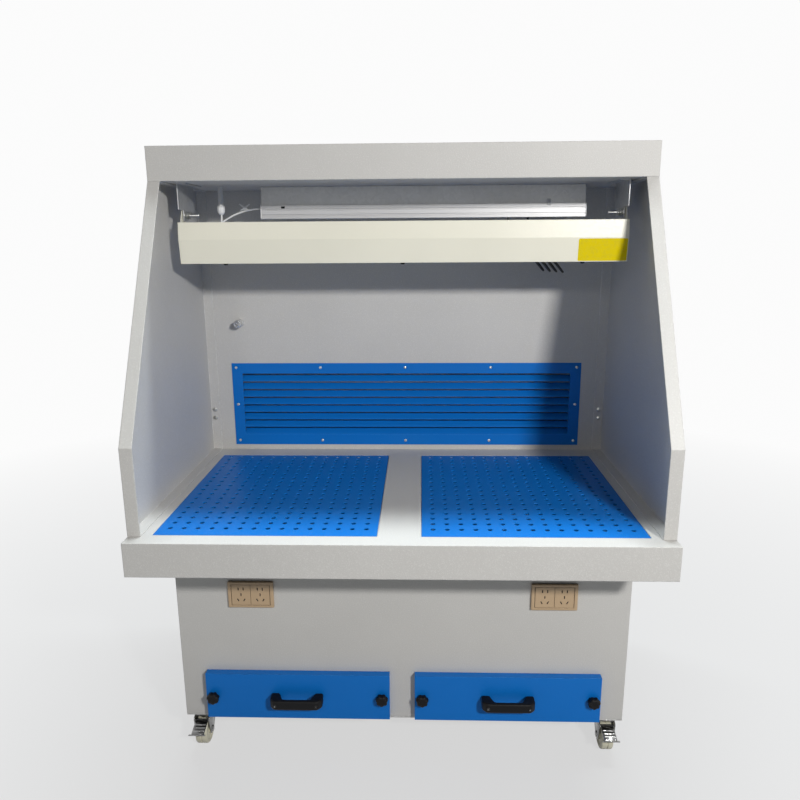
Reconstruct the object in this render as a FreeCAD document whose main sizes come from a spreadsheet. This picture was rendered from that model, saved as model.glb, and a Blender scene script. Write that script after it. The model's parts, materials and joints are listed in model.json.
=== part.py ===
"""Downdraft table: a dust-extracting workbench with perforated plates, side shields and a lit hood.

Millimetres. +Z is up, -Y is the front where the worker stands, +X is the worker's right.
The origin is on the floor under the middle of the table's outline.
"""
import FreeCAD, Part
import math
import os
import re

import Sketcher
from FreeCAD import Placement, Rotation, Vector

# Driving dimensions. Those named *_side, *_inset, *_front and *_rear run in from an edge.
SIZES = {
    # worktop tray
    "table_width": 1240,
    "table_depth": 850,
    "table_height": 700,
    "skirt_height": 82,
    "skirt_lip": 20,
    "skin": 2,
    "top_sheet": 3,
    "pan_sheet": 2,
    "mouth_rim": 10,
    # perforated plates and the ledges that carry them
    "plate_side": 54,
    "plate_rear": 68,
    "plate_spacing": 102,
    "plate_front": 48,
    "plate_sheet": 3,
    "plate_play": 1.5,
    "ledge_seat": 12,
    "ledge_weld": 10,
    "ledge_sheet": 2,
    "hole_diameter": 12,
    "hole_pitch_across": 33,
    "hole_pitch_deep": 32,
    "hole_margin_side": 26,
    "hole_margin_front": 40,
    "hole_margin_rear": 15,
    # base cabinet
    "caster_height": 105,
    "side_overhang": 36,
    "base_front": 206,
    "base_rear": 30,
    "floor_sheet": 3,
    "fan_room": 263,
    # side shields, back panel, rear duct and hood
    "shield_height": 799,
    "shield_depth": 30,
    "shield_front": 36,
    "knee_height": 210,
    "duct_depth": 134,
    "hood_depth": 508,
    "hood_height": 82,
    "duct_rear": 4,
    "duct_slot_side": 60,
    "duct_slot_rim": 20,
    "shield_bolt_inset": 14,
    "shield_bolt_low": 104,
    "shield_bolt_pitch": 27,
    "shield_bolt_rise": 547,
    # louvred grille
    "louvre_side": 75.5,
    "louvre_height": 264,
    "louvre_lift": 16,
    "louvre_rim": 33,
    "louvre_screw_inset": 14,
    "blade_pitch": 24.7,
    "blade_depth": 16,
    "blade_drop": 15,
    "blade_sheet": 2.4,
    "screw_diameter": 4,
    "screw_head": 9,
    "screw_head_height": 2.4,
    "screw_length": 8,
    "screw_play": 0.2,
    # air coupling on the back panel
    "coupler_inset": 110,
    "coupler_rise": 406,
    "coupler_hex": 13,
    "coupler_hex_length": 9,
    "coupler_tube": 16,
    "coupler_reach": 34,
    "coupler_bore": 8,
    "coupler_stem": 13,
    "coupler_stem_length": 18,
    "sleeve_diameter": 25,
    "sleeve_length": 20,
    "sleeve_travel": 4,
    "running_play": 0.05,
    # lamp shade, its brackets and pivot bolts
    "shade_side": 47,
    "shade_reach": 55,
    "shade_sheet": 1.5,
    "shade_top_return": 20,
    "shade_upper": 44,
    "shade_upper_rake": 4.5,
    "shade_lower": 60.5,
    "shade_rake": 7,
    "shade_bottom_return": 16,
    "shade_top_drop": 18,
    "pivot_rear": 400,
    "pivot_drop": 79,
    "lug_radius": 14,
    "bracket_sheet": 2.5,
    "bracket_gap": 2,
    "bracket_ahead": 50,
    "bracket_behind": 80,
    "bracket_web": 65,
    "bracket_flange": 25,
    "pivot_diameter": 8,
    "pivot_inboard": 36,
    "pivot_outboard": 8,
    "pivot_nut": 11,
    "pivot_nut_height": 8,
    # lamp
    "lamp_left": 225,
    "lamp_right": 119,
    "lamp_rear": 250,
    "lamp_channel_width": 40,
    "lamp_channel_height": 49,
    "lamp_channel_sheet": 1.5,
    "lamp_body_width": 50,
    "lamp_body_height": 36.5,
    "lamp_cavity_width": 30,
    "lamp_cavity_depth": 26,
    "lamp_end_wall": 12,
    "lamp_groove": 4,
    "lamp_groove_first": 9.5,
    "lamp_groove_pitch": 15,
    "lamp_groove_depth": 2,
    "lamp_grooves": 2,
    "diffuser_height": 3,
    "diffuser_inset": 15,
    # lamp lead with its gland, and the tied-up spare cable
    "gland_inset": 117,
    "gland_rear": 290,
    "gland_diameter": 14,
    "gland_length": 50,
    "gland_nut": 20,
    "gland_nut_length": 24,
    "lead_diameter": 5,
    "lead_sag": 37,
    "lead_drop": 8,
    "lead_low_run": 38,
    "lead_low_set": 33,
    "lead_high_run": 50,
    "cable_diameter": 6,
    "cable_exit_side": 329,
    "cable_exit_inset": 4,
    "cable_stub": 16.5,
    "cable_bend": 26,
    "cable_lean": 40,
    "hank_neck": 25,
    "hank_length": 104,
    "hank_loops": 4,
    "hank_step": 6.5,
    "hank_clearance": 0.4,
    # sockets
    "socket_width": 118,
    "socket_height": 72,
    "socket_sheet": 8,
    "socket_inset": 195,
    "socket_drop": 233,
    "socket_body_width": 102,
    "socket_body_height": 54,
    "socket_body_depth": 28,
    "socket_play": 1,
    "socket_module": 49,
    "pin_slot_width": 2.6,
    "pin_slot_height": 8,
    "pin_slot_depth": 14,
    "pin_spread": 6.5,
    "pin_slant_spread": 8,
    "pin_upper": 17,
    "pin_earth": 1,
    "pin_lower": 14,
    "pin_slant": 30,
    # drawers
    "drawer_side": 65,
    "drawer_height": 130,
    "drawer_gap": 66,
    "drawer_lift": 9.5,
    "drawer_face_depth": 20,
    "drawer_sheet": 1.5,
    "drawer_lip": 12,
    "drawer_seal": 0.5,
    "tray_side": 43,
    "tray_height": 100,
    "tray_rear": 20,
    "tray_lift": 14,
    "tray_mouth_play": 8,
    "rail_width": 20,
    "rail_sheet": 2,
    "rail_inset": 15,
    "slide_play": 0.3,
    # drawer handles and clamping knobs
    "handle_length": 137,
    "handle_reach": 40,
    "handle_height": 26,
    "handle_foot": 21,
    "handle_grip": 13,
    "handle_chamfer": 12,
    "handle_round": 2.5,
    "knob_inset": 20,
    "knob_diameter": 33,
    "knob_height": 15,
    "knob_neck": 17,
    "knob_neck_length": 5,
    "knob_lobes": 7,
    "knob_scallop": 9,
    "stud_diameter": 8,
    "stud_reach": 32,
    "stud_play": 0.5,
    # filters and pulse cleaning
    "filter_side": 214,
    "filter_drop": 260,
    "filter_diameter": 216,
    "filter_front": 65,
    "filter_bore": 140,
    "filter_cap": 12,
    "filter_flange": 236,
    "tank_diameter": 90,
    "tank_sheet": 3,
    "tank_drain": 12,
    "tank_end": 104,
    "tank_standoff": 68,
    "tank_lug": 40,
    "tank_lug_inset": 184,
    "valve_diameter": 50,
    "valve_length": 40,
    "blow_pipe": 25,
    "blow_pipe_length": 80,
    # fan
    "fan_x": -10,
    "fan_height": 260,
    "fan_standoff": 135,
    "fan_case_diameter": 220,
    "fan_case_width": 100,
    "fan_case_sheet": 2,
    "fan_outlet": 96,
    "fan_foot_depth": 140,
    "fan_inlet": 120,
    "impeller_diameter": 184,
    "impeller_width": 66,
    "fan_hub": 60,
    "fan_hub_length": 50,
    "fan_blades": 10,
    "fan_blade_sheet": 3,
    "fan_shaft": 24,
    "fan_shaft_length": 90,
    "fan_wall_hole": 44,
    "motor_diameter": 140,
    "motor_length": 200,
    "motor_flange": 160,
    "motor_flange_sheet": 10,
    "exhaust_slot": 8,
    "exhaust_pitch": 15,
    "exhaust_rim": 6,
    # supply cable gland
    "supply_gland_inset": 134,
    "supply_gland_height": 300,
    "supply_gland_nut": 15,
    "supply_gland_length": 8,
    "supply_gland_stem": 14,
    "supply_gland_bore": 9,
    # casters
    "wheel_diameter": 75,
    "wheel_width": 32,
    "wheel_hub": 36,
    "wheel_hub_diameter": 24,
    "wheel_groove": 3,
    "wheel_groove_depth": 2,
    "wheel_shoulder": 4,
    "wheel_dish": 3,
    "wheel_rim": 9,
    "axle_diameter": 10,
    "axle_head": 3,
    "caster_trail": 30,
    "caster_side": 34,
    "caster_end": 63,
    "caster_plate_width": 64,
    "caster_plate_depth": 92,
    "caster_plate_sheet": 2.5,
    "caster_race": 44,
    "caster_race_height": 6,
    "swivel_play": 0.3,
    "fork_cap_height": 5,
    "fork_gap": 38,
    "fork_sheet": 2.5,
    "fork_heel": 20,
    "pedal_width": 34,
    "pedal_length": 46,
    "pedal_fall": 13,
    "pedal_sheet": 3,
    "pedal_toe": 8,
    "pedal_toe_width": 44,
    "pedal_pin": 6,
    "pedal_pin_ahead": 17,
    "pedal_pin_rise": 38.5,
    "caster_bolt_across": 44,
    "caster_bolt_along": 68,
    # hexagon bolts
    "bolt_small": 6,
    "bolt_small_head": 5.8,
    "bolt_small_height": 4,
    "bolt_small_length": 12,
    "bolt_large_head": 7.5,
    "bolt_large_height": 5.3,
    "bolt_large_length": 14,
    "bolt_play": 0.2,
}

# Lengths that follow from the driving dimensions
FOLLOWS = {
    "plate_depth": "(back_at - plate_front - plate_rear)",
    "plate_width": "((table_width - plate_spacing) / 2 - plate_side)",
    "louvre_width": "(table_width - 2 * louvre_side)",
    "shade_width": "(table_width - 2 * shade_side)",
    "lamp_length": "(table_width - lamp_left - lamp_right)",
    "lamp_offset": "((lamp_left - lamp_right) / 2)",
    "coupler_side": "(table_width / 2 - coupler_inset)",
    "gland_side": "(table_width / 2 - gland_inset)",
    "tray_depth":
        "(filter_wall_at - base_front + drawer_seal + drawer_face_depth - drawer_sheet - tray_rear)",
    "filter_length": "(filter_wall_at - base_front - skin - filter_front)",
    "tray_width": "(drawer_width - 2 * tray_side)",
    "drawer_centre": "(drawer_gap / 2 + drawer_width / 2)",
    "drawer_width": "(base_width / 2 - drawer_side - drawer_gap / 2)",
    "socket_centre": "(base_width / 2 - socket_inset)",
    "filter_spacing": "(base_width / 2 - filter_side)",
    "tank_lug_spacing": "(base_width - 2 * tank_lug_inset)",
    "tank_length": "(base_width - 2 * tank_end)",
    "supply_gland_side": "(base_width / 2 - supply_gland_inset)",
    "filter_wall_at": "(table_depth - base_rear - fan_room)",
    "hood_front": "(table_depth - hood_depth)",
    "pivot_at": "(table_depth - pivot_rear)",
    "lamp_at": "(table_depth - lamp_rear)",
    "gland_at": "(table_depth - gland_rear)",
    "back_at": "(table_depth - duct_depth)",
    "base_width": "(table_width - 2 * side_overhang)",
}

# Places that follow from the driving dimensions
X_SIDE = "(table_width / 2)"
X_BASE = "(base_width / 2)"
X_WELL = "(plate_spacing / 2 - plate_play)"
Y_FRONT = "(-table_depth / 2)"
Y_BASE = "(base_front - table_depth / 2)"
Y_BASE_REAR = "(table_depth / 2 - base_rear)"
Y_FILTER_WALL = "(filter_wall_at - table_depth / 2)"
Y_BACK = "(back_at - table_depth / 2)"
Y_HOOD = "(hood_front - table_depth / 2)"
Y_LAMP = "(lamp_at - table_depth / 2)"
Y_PIVOT = "(pivot_at - table_depth / 2)"
Z_FLOOR = "(caster_height + floor_sheet)"
Z_SKIRT = "(table_height - skirt_height)"
Z_BASE_TOP = "(table_height - skirt_height + skin)"
Z_CEILING = "(table_height + shield_height)"
Z_PIVOT = "(table_height + shield_height - pivot_drop)"
Z_FILTER = "(table_height - filter_drop)"
Z_DRAWER = "(caster_height + drawer_lift)"
Z_TRAY = "(caster_height + drawer_lift + tray_lift)"
Y_DRAWER = "(base_front - table_depth / 2 - drawer_seal - drawer_face_depth)"
Z_LAMP = "(table_height + shield_height - lamp_channel_height - lamp_body_height)"

doc = FreeCAD.newDocument("DowndraftTable")
sheet = doc.addObject("Spreadsheet::Sheet", "Sizes")
for row, (alias, value) in enumerate(SIZES.items(), start=1):
    sheet.set("A%d" % row, alias)
    sheet.set("B%d" % row, str(value))
    sheet.setAlias("B%d" % row, alias)
doc.recompute()

ALIAS = re.compile(r"\b(%s)\b" % "|".join(SIZES))
ALONG_X = Rotation(Vector(0, 1, 0), 90)
ALONG_Y = Rotation(Vector(1, 0, 0), -90)
ALONG_Z = Rotation()
SIDES = (("left", -1), ("right", 1))
nodes = []


def node(obj):
    """Keep a finished sub-part, whose label names its file."""
    nodes.append(obj)
    return obj


def size(alias):
    """A driving dimension as a number, for shapes that no primitive or sketch makes."""
    return float(sheet.get(alias))


def bind(obj, path, text):
    """Tie one property to the sheet's cells."""
    for name, meaning in FOLLOWS.items():
        text = re.sub(r"\b%s\b" % name, meaning, text)
    obj.setExpression(path, ALIAS.sub(r"Sizes.\1", text))


def move(obj, corner):
    """Tie a sub-part's place to the sheet's cells."""
    for axis, text in zip("xyz", corner):
        bind(obj, "Placement.Base.%s" % axis, text)
    return obj


def box(name, corner, lengths):
    """A block from its low corner and its three lengths."""
    obj = doc.addObject("Part::Box", name)
    for path, text in zip(("Length", "Width", "Height"), lengths):
        bind(obj, path, text)
    return move(obj, corner)


def rod(name, turn, start, diameter, length):
    """A round bar from the middle of its first end."""
    obj = doc.addObject("Part::Cylinder", name)
    bind(obj, "Radius", "(%s) / 2" % diameter)
    bind(obj, "Height", length)
    obj.Placement = Placement(Vector(), turn)
    return move(obj, start)


def hexagon(name, turn, start, corner_radius, length):
    """A hexagonal bar from the middle of its first end."""
    obj = doc.addObject("Part::Prism", name)
    obj.Polygon = 6
    bind(obj, "Circumradius", corner_radius)
    bind(obj, "Height", length)
    obj.Placement = Placement(Vector(), turn)
    return move(obj, start)


def fuse(name, pieces):
    """Join pieces into one."""
    obj = doc.addObject("Part::MultiFuse", name)
    obj.Shapes = pieces
    return obj


def group(name, pieces):
    """Several separate solids in one sub-part."""
    obj = doc.addObject("Part::Compound", name)
    obj.Links = pieces
    return obj


def cut(name, base, tools):
    """Take tools away from a base."""
    obj = doc.addObject("Part::Cut", name)
    obj.Base = base
    obj.Tool = tools[0] if len(tools) == 1 else fuse(name + "_cutter", tools)
    return obj


def body(name, place=("0", "0", "0")):
    """A body modelled about its own origin and put in its place."""
    return move(doc.addObject("PartDesign::Body", name), place)


def sketch(owner, role, lift="0"):
    """A sketch on one of a body's own planes, raised along the plane's normal."""
    plane = next(item for item in owner.Origin.OriginFeatures if item.Role == role)
    made = owner.newObject("Sketcher::SketchObject", owner.Name + "_sketch")
    made.AttachmentSupport = [(plane, "")]
    made.MapMode = "FlatFace"
    bind(made, "AttachmentOffset.Base.z", lift)
    return made


def hold(made, geometry, point, x, y):
    """Tie one point of a sketch to the sketch's origin."""
    for kind, text in (("DistanceX", x), ("DistanceY", y)):
        index = made.addConstraint(Sketcher.Constraint(kind, -1, 1, geometry, point, 1.0))
        bind(made, "Constraints[%d]" % index, text)


def polygon(made, points):
    """A closed outline with straight sides through the given points."""
    count = len(points)
    first = made.GeometryCount
    turn = 2 * math.pi / count
    ring = [Vector(math.cos(turn * step), math.sin(turn * step), 0) for step in range(count)]
    for step in range(count):
        made.addGeometry(Part.LineSegment(ring[step], ring[(step + 1) % count]), False)
    for step in range(count):
        made.addConstraint(Sketcher.Constraint("Coincident", first + step, 2, first + (step + 1) % count, 1))
    for step, (x, y) in enumerate(points):
        hold(made, first + step, 1, x, y)
    return made


def rectangle(made, low, high):
    """A closed rectangle between two corners."""
    return polygon(made, [low, (high[0], low[1]), high, (low[0], high[1])])


def circle(made, x, y, diameter):
    """A circle by its centre and diameter."""
    index = made.addGeometry(Part.Circle(Vector(), Vector(0, 0, 1), 1.0), False)
    bound = made.addConstraint(Sketcher.Constraint("Radius", index, 1.0))
    bind(made, "Constraints[%d]" % bound, "(%s) / 2" % diameter)
    hold(made, index, 3, x, y)
    return made


def pad(made, length, side="One side", back=False):
    """Grow a sketch into material."""
    owner = made.getParentGeoFeatureGroup()
    feature = owner.newObject("PartDesign::Pad", made.Name + "_pad")
    feature.Profile = made
    feature.SideType = side
    feature.Reversed = back
    bind(feature, "Length", length)
    owner.Tip = feature
    return feature


def pocket(made, length, side="One side", back=False):
    """Sink a sketch into material, and insist that it took some away."""
    owner = made.getParentGeoFeatureGroup()
    owner.recompute(True)
    before = owner.Shape.Volume
    feature = owner.newObject("PartDesign::Pocket", made.Name + "_pocket")
    feature.Profile = made
    feature.SideType = side
    feature.Reversed = back
    bind(feature, "Length", length)
    owner.Tip = feature
    owner.recompute(True)
    if owner.Shape.Volume >= before:
        raise RuntimeError("pocket cuts nothing: " + feature.Name)
    return feature


def revolve(made, axis="H_Axis"):
    """Turn a sketch once round one of its own axes."""
    owner = made.getParentGeoFeatureGroup()
    feature = owner.newObject("PartDesign::Revolution", made.Name + "_turned")
    feature.Profile = made
    feature.ReferenceAxis = (made, [axis])
    feature.Angle = 360
    owner.Tip = feature
    return feature


def ring_of(feature, made, axis, count):
    """Repeat a feature evenly round an axis of its sketch."""
    owner = made.getParentGeoFeatureGroup()
    pattern = owner.newObject("PartDesign::PolarPattern", feature.Name + "_ring")
    pattern.Originals = [feature]
    pattern.Axis = (made, [axis])
    pattern.Angle = 360
    bind(pattern, "Occurrences", count)
    owner.Tip = pattern
    return pattern


def signed(sign, text):
    """An expression on the left (-1) or on the right (+1)."""
    return "%d * (%s)" % (sign, text)


def span(sign, near, far):
    """Low end and length of a stretch between two distances from the middle, on one side."""
    low = near if sign > 0 else "-(%s)" % far
    return low, "(%s) - (%s)" % (far, near)


def clearance_hole(name, turn, start, diameter, play, length):
    """The round cutter for a bolt's or a screw's hole."""
    return rod(name, turn, start, "%s + 2 * %s" % (diameter, play), length)


# Worktop: a folded tray turned upside down, with two wells and their welded ledges, and the duct slot.
def build_worktop():
    inside = ("table_width - 2 * skin", "table_depth - 2 * skin")
    low = "-%s + skin" % X_SIDE, "%s + skin" % Y_FRONT
    outline = ("table_width", "table_depth", "skirt_height")
    block = box("worktop_block", ("-" + X_SIDE, Y_FRONT, Z_SKIRT), outline)
    hollow = box("worktop_hollow", low + (Z_BASE_TOP,), inside + ("skirt_height - skin - top_sheet",))
    lip = [text + " + skirt_lip" for text in low]
    bottom = box(
        "worktop_bottom",
        (lip[0], lip[1], Z_SKIRT),
        tuple(text + " - 2 * skirt_lip" for text in inside) + ("2 * skin",),
    )
    slot = box(
        "worktop_duct_slot",
        ("-%s + duct_slot_side" % X_SIDE, Y_BACK + " + duct_slot_rim", "table_height - 2 * top_sheet"),
        ("table_width - 2 * duct_slot_side", "table_depth - back_at - 2 * duct_slot_rim", "3 * top_sheet"),
    )
    cutters = [hollow, bottom, slot]
    ledges = []
    for side, sign in SIDES:
        well_y = "%s + plate_front - plate_play" % Y_FRONT
        well_depth = "(plate_depth + 2 * plate_play)"
        well_x, well_width = span(sign, X_WELL, X_WELL + " + plate_width + 2 * plate_play")
        cutters.append(
            box(
                side + "_well",
                (well_x, well_y, "table_height - 2 * top_sheet"),
                (well_width, well_depth, "3 * top_sheet"),
            )
        )
        ledge_z = "table_height - top_sheet - ledge_sheet"
        frame = box(
            side + "_ledge_frame",
            (well_x + " - ledge_weld", well_y + " - ledge_weld", ledge_z),
            (well_width + " + 2 * ledge_weld", well_depth + " + 2 * ledge_weld", "ledge_sheet"),
        )
        window = box(
            side + "_ledge_window",
            (well_x + " + ledge_seat", well_y + " + ledge_seat", ledge_z),
            (well_width + " - 2 * ledge_seat", well_depth + " - 2 * ledge_seat", "ledge_sheet"),
        )
        ledges.append(cut(side + "_ledge", frame, [window]))
    tray = cut("worktop_tray", block, cutters)
    node(fuse("worktop", [tray] + ledges))


# Tray pan: the plate under the worktop that leads the drawn air to the mouth of the filter chamber.
def build_tray_pan():
    plate = box(
        "tray_pan_plate",
        ("-%s + skin" % X_SIDE, Y_FRONT + " + skin", Z_BASE_TOP),
        ("table_width - 2 * skin", "table_depth - 2 * skin", "pan_sheet"),
    )
    mouth = box(
        "tray_pan_mouth",
        ("-%s + skin + mouth_rim" % X_BASE, Y_BASE + " + skin + mouth_rim", Z_BASE_TOP),
        (
            "base_width - 2 * skin - 2 * mouth_rim",
            "filter_wall_at - base_front - skin - 2 * mouth_rim",
            "pan_sheet",
        ),
    )
    node(cut("tray_pan", plate, [mouth]))


# Perforated plates: drop-in sheets with a square grid of round holes, lifted out to clean the tray.
def build_perforated_plates():
    columns = "(floor((plate_width - 2 * hole_margin_side) / hole_pitch_across) + 1)"
    rows = "(floor((plate_depth - hole_margin_front - hole_margin_rear) / hole_pitch_deep) + 1)"
    for side, sign in SIDES:
        middle = signed(sign, "plate_spacing / 2 + plate_width / 2")
        place = (middle, Y_FRONT + " + plate_front", "table_height - top_sheet")
        plate = body(side + "_perforated_plate", place)
        outline = sketch(plate, "XY_Plane")
        rectangle(outline, ("-plate_width / 2", "0"), ("plate_width / 2", "plate_depth"))
        pad(outline, "plate_sheet")
        first = sketch(plate, "XY_Plane")
        circle(first, "-(%s - 1) * hole_pitch_across / 2" % columns, "hole_margin_front", "hole_diameter")
        hole = pocket(first, "plate_sheet", back=True)
        grid = plate.newObject("PartDesign::LinearPattern", side + "_hole_grid")
        grid.Originals = [hole]
        grid.Direction = (first, ["H_Axis"])
        grid.Direction2 = (first, ["V_Axis"])
        grid.Mode = "Spacing"
        grid.Mode2 = "Spacing"
        grid.Spacings2 = [-1.0]
        bind(grid, "Offset", "hole_pitch_across")
        bind(grid, "Offset2", "hole_pitch_deep")
        bind(grid, "Occurrences", columns)
        bind(grid, "Occurrences2", rows)
        plate.Tip = grid
        node(plate)


# Base cabinet: floor, four wall sheets and the wall that holds the filters.
def build_base():
    wall_height = "table_height - skirt_height + skin - caster_height - floor_sheet"
    floor = box(
        "base_floor_sheet",
        ("-" + X_BASE, Y_BASE, "caster_height"),
        ("base_width", "table_depth - base_front - base_rear", "floor_sheet"),
    )
    node(cut("base_floor", floor, caster_bolt_holes("floor_hole", "caster_height", "floor_sheet")))
    for side, sign in SIDES:
        low, width = span(sign, X_BASE + " - skin", X_BASE)
        depth = "table_depth - base_front - base_rear - 2 * skin"
        node(box("base_%s_panel" % side, (low, Y_BASE + " + skin", Z_FLOOR), (width, depth, wall_height)))
    front = box("base_front_sheet", ("-" + X_BASE, Y_BASE, Z_FLOOR), ("base_width", "skin", wall_height))
    cutters = []
    for side, sign in SIDES:
        cutters.append(
            box(
                side + "_drawer_mouth",
                (
                    signed(sign, "drawer_centre") + " - tray_width / 2 - tray_mouth_play",
                    Y_BASE,
                    Z_TRAY + " - tray_mouth_play",
                ),
                ("tray_width + 2 * tray_mouth_play", "skin", "tray_height + 2 * tray_mouth_play"),
            )
        )
        cutters.append(
            box(
                side + "_socket_mouth",
                (
                    signed(sign, "socket_centre") + " - socket_body_width / 2 - socket_play",
                    Y_BASE,
                    "table_height - socket_drop - socket_body_height / 2 - socket_play",
                ),
                ("socket_body_width + 2 * socket_play", "skin", "socket_body_height + 2 * socket_play"),
            )
        )
        for end, x in knob_places(sign):
            start = (x, Y_BASE, Z_DRAWER + " + drawer_height / 2")
            hole = clearance_hole(
                "%s_%s_stud_hole" % (side, end), ALONG_Y, start, "stud_diameter", "stud_play", "skin"
            )
            cutters.append(hole)
    node(cut("base_front_panel", front, cutters))
    build_rear_panel(wall_height)
    wall = box(
        "filter_wall_sheet",
        ("-%s + skin" % X_BASE, Y_FILTER_WALL, Z_FLOOR),
        ("base_width - 2 * skin", "skin", wall_height),
    )
    ports = []
    for place in (-1, 0, 1):
        start = (signed(place, "filter_spacing"), Y_FILTER_WALL, Z_FILTER)
        ports.append(rod("filter_port_%d" % (place + 2), ALONG_Y, start, "filter_bore", "skin"))
    node(cut("filter_wall", wall, ports))


# Rear panel: slots where the fan blows out, and the hole of the supply cable's gland.
def build_rear_panel(wall_height):
    face = Y_BASE_REAR + " - skin"
    sheet_blank = box("base_rear_sheet", ("-" + X_BASE, face, Z_FLOOR), ("base_width", "skin", wall_height))
    panel = body("exhaust_slots", ("fan_x", face, "fan_height - fan_case_diameter / 2"))
    slot = sketch(panel, "XZ_Plane")
    rectangle(
        slot,
        ("-fan_case_width / 2 + exhaust_rim", "exhaust_rim + fan_case_sheet"),
        ("fan_case_width / 2 - exhaust_rim", "exhaust_rim + fan_case_sheet + exhaust_slot"),
    )
    first = pad(slot, "skin", back=True)
    rows = panel.newObject("PartDesign::LinearPattern", "exhaust_rows")
    rows.Originals = [first]
    rows.Direction = (slot, ["V_Axis"])
    rows.Mode = "Spacing"
    bind(rows, "Offset", "exhaust_pitch")
    bind(rows, "Occurrences", "floor((fan_outlet - 2 * exhaust_rim - exhaust_slot) / exhaust_pitch) + 1")
    panel.Tip = rows
    start = ("-supply_gland_side", face, "supply_gland_height")
    gland_hole = rod("supply_gland_hole", ALONG_Y, start, "supply_gland_stem", "skin")
    node(cut("base_rear_panel", sheet_blank, [panel, gland_hole]))


# Supply cable gland in the rear panel. The cable itself is fitted on site.
def build_supply_gland():
    start = ("-supply_gland_side", Y_BASE_REAR, "supply_gland_height")
    nut = hexagon("supply_gland_nut_piece", ALONG_Y, start, "supply_gland_nut", "supply_gland_length")
    inner = ("-supply_gland_side", Y_BASE_REAR + " - 2 * supply_gland_length", "supply_gland_height")
    stem = rod("supply_gland_stem_piece", ALONG_Y, inner, "supply_gland_stem", "3 * supply_gland_length")
    bore = rod("supply_gland_way", ALONG_Y, inner, "supply_gland_bore", "3 * supply_gland_length")
    node(cut("supply_gland", fuse("supply_gland_solid", [nut, stem]), [bore]))


# Side shields: folded trays with a slanted front edge, open towards the work.
def build_shields():
    for side, sign in SIDES:
        shield = body(side + "_shield_tray", (signed(sign, X_SIDE), Y_FRONT, "table_height"))
        profile = sketch(shield, "YZ_Plane")
        polygon(
            profile,
            [
                ("shield_front", "0"),
                ("back_at", "0"),
                ("back_at", "shield_height"),
                ("hood_front", "shield_height"),
                ("shield_front", "knee_height"),
            ],
        )
        solid = pad(profile, "shield_depth", back=sign > 0)
        shield.recompute(True)
        inner_x = -sign * size("shield_depth")
        flat = [
            "Face%d" % (index + 1)
            for index, face in enumerate(solid.Shape.Faces)
            if abs(face.CenterOfMass.x - inner_x) < 0.001
        ]
        folded = shield.newObject("PartDesign::Thickness", side + "_shield_folds")
        folded.Base = (solid, flat)
        folded.Mode = "Skin"
        folded.Join = "Intersection"
        folded.Reversed = True
        bind(folded, "Value", "skin")
        shield.Tip = folded
        holes = []
        for index, (x, z) in enumerate(shield_bolt_places(sign)):
            start = (x, Y_BACK + " - skin", z)
            holes.append(
                clearance_hole(
                    "%s_shield_hole_%d" % (side, index), ALONG_Y, start, "bolt_small", "bolt_play", "skin"
                )
            )
        node(cut(side + "_shield", shield, holes))


def shield_bolt_places(sign):
    """The bolts in one shield's rear flange, in a low pair and a high pair."""
    places = []
    for rise in ("0", "shield_bolt_rise"):
        for step in (0, 1):
            height = "table_height + shield_bolt_low + %s + %d * shield_bolt_pitch" % (rise, step)
            places.append((signed(sign, X_SIDE + " - shield_bolt_inset"), height))
    return places


# Back panel between the shields, with the louvre's window and the air coupling's hole.
def build_back_panel():
    outline = ("table_width", "skin", "shield_height")
    blank = box("back_sheet", ("-" + X_SIDE, Y_BACK, "table_height"), outline)
    window = box(
        "back_window",
        (
            "-louvre_width / 2 + louvre_rim - skin",
            Y_BACK,
            "table_height + louvre_lift + louvre_rim - skin",
        ),
        ("louvre_width - 2 * louvre_rim + 2 * skin", "skin", "louvre_height - 2 * louvre_rim + 2 * skin"),
    )
    cutters = [window]
    for index, (x, z) in enumerate(louvre_screw_places()):
        name = "back_screw_hole_%d" % index
        cutters.append(clearance_hole(name, ALONG_Y, (x, Y_BACK, z), "screw_diameter", "screw_play", "skin"))
    for side, sign in SIDES:
        for index, (x, z) in enumerate(shield_bolt_places(sign)):
            name = "back_%s_bolt_hole_%d" % (side, index)
            cutters.append(clearance_hole(name, ALONG_Y, (x, Y_BACK, z), "bolt_small", "bolt_play", "skin"))
    stem = ("-coupler_side", Y_BACK, "table_height + coupler_rise")
    cutters.append(rod("back_coupler_hole", ALONG_Y, stem, "coupler_stem", "skin"))
    node(cut("back_panel", blank, cutters))


# Rear duct: a U-shaped cover that carries the louvre's air down into the worktop tray.
def build_rear_duct():
    start = Y_BACK + " + skin"
    depth = "(table_depth - back_at - skin - duct_rear)"
    block = box("duct_block", ("-" + X_SIDE, start, "table_height"), ("table_width", depth, "shield_height"))
    hollow = box(
        "duct_hollow",
        ("-%s + skin" % X_SIDE, start, "table_height"),
        ("table_width - 2 * skin", depth + " - skin", "shield_height"),
    )
    node(cut("rear_duct_cover", block, [hollow]))


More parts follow.
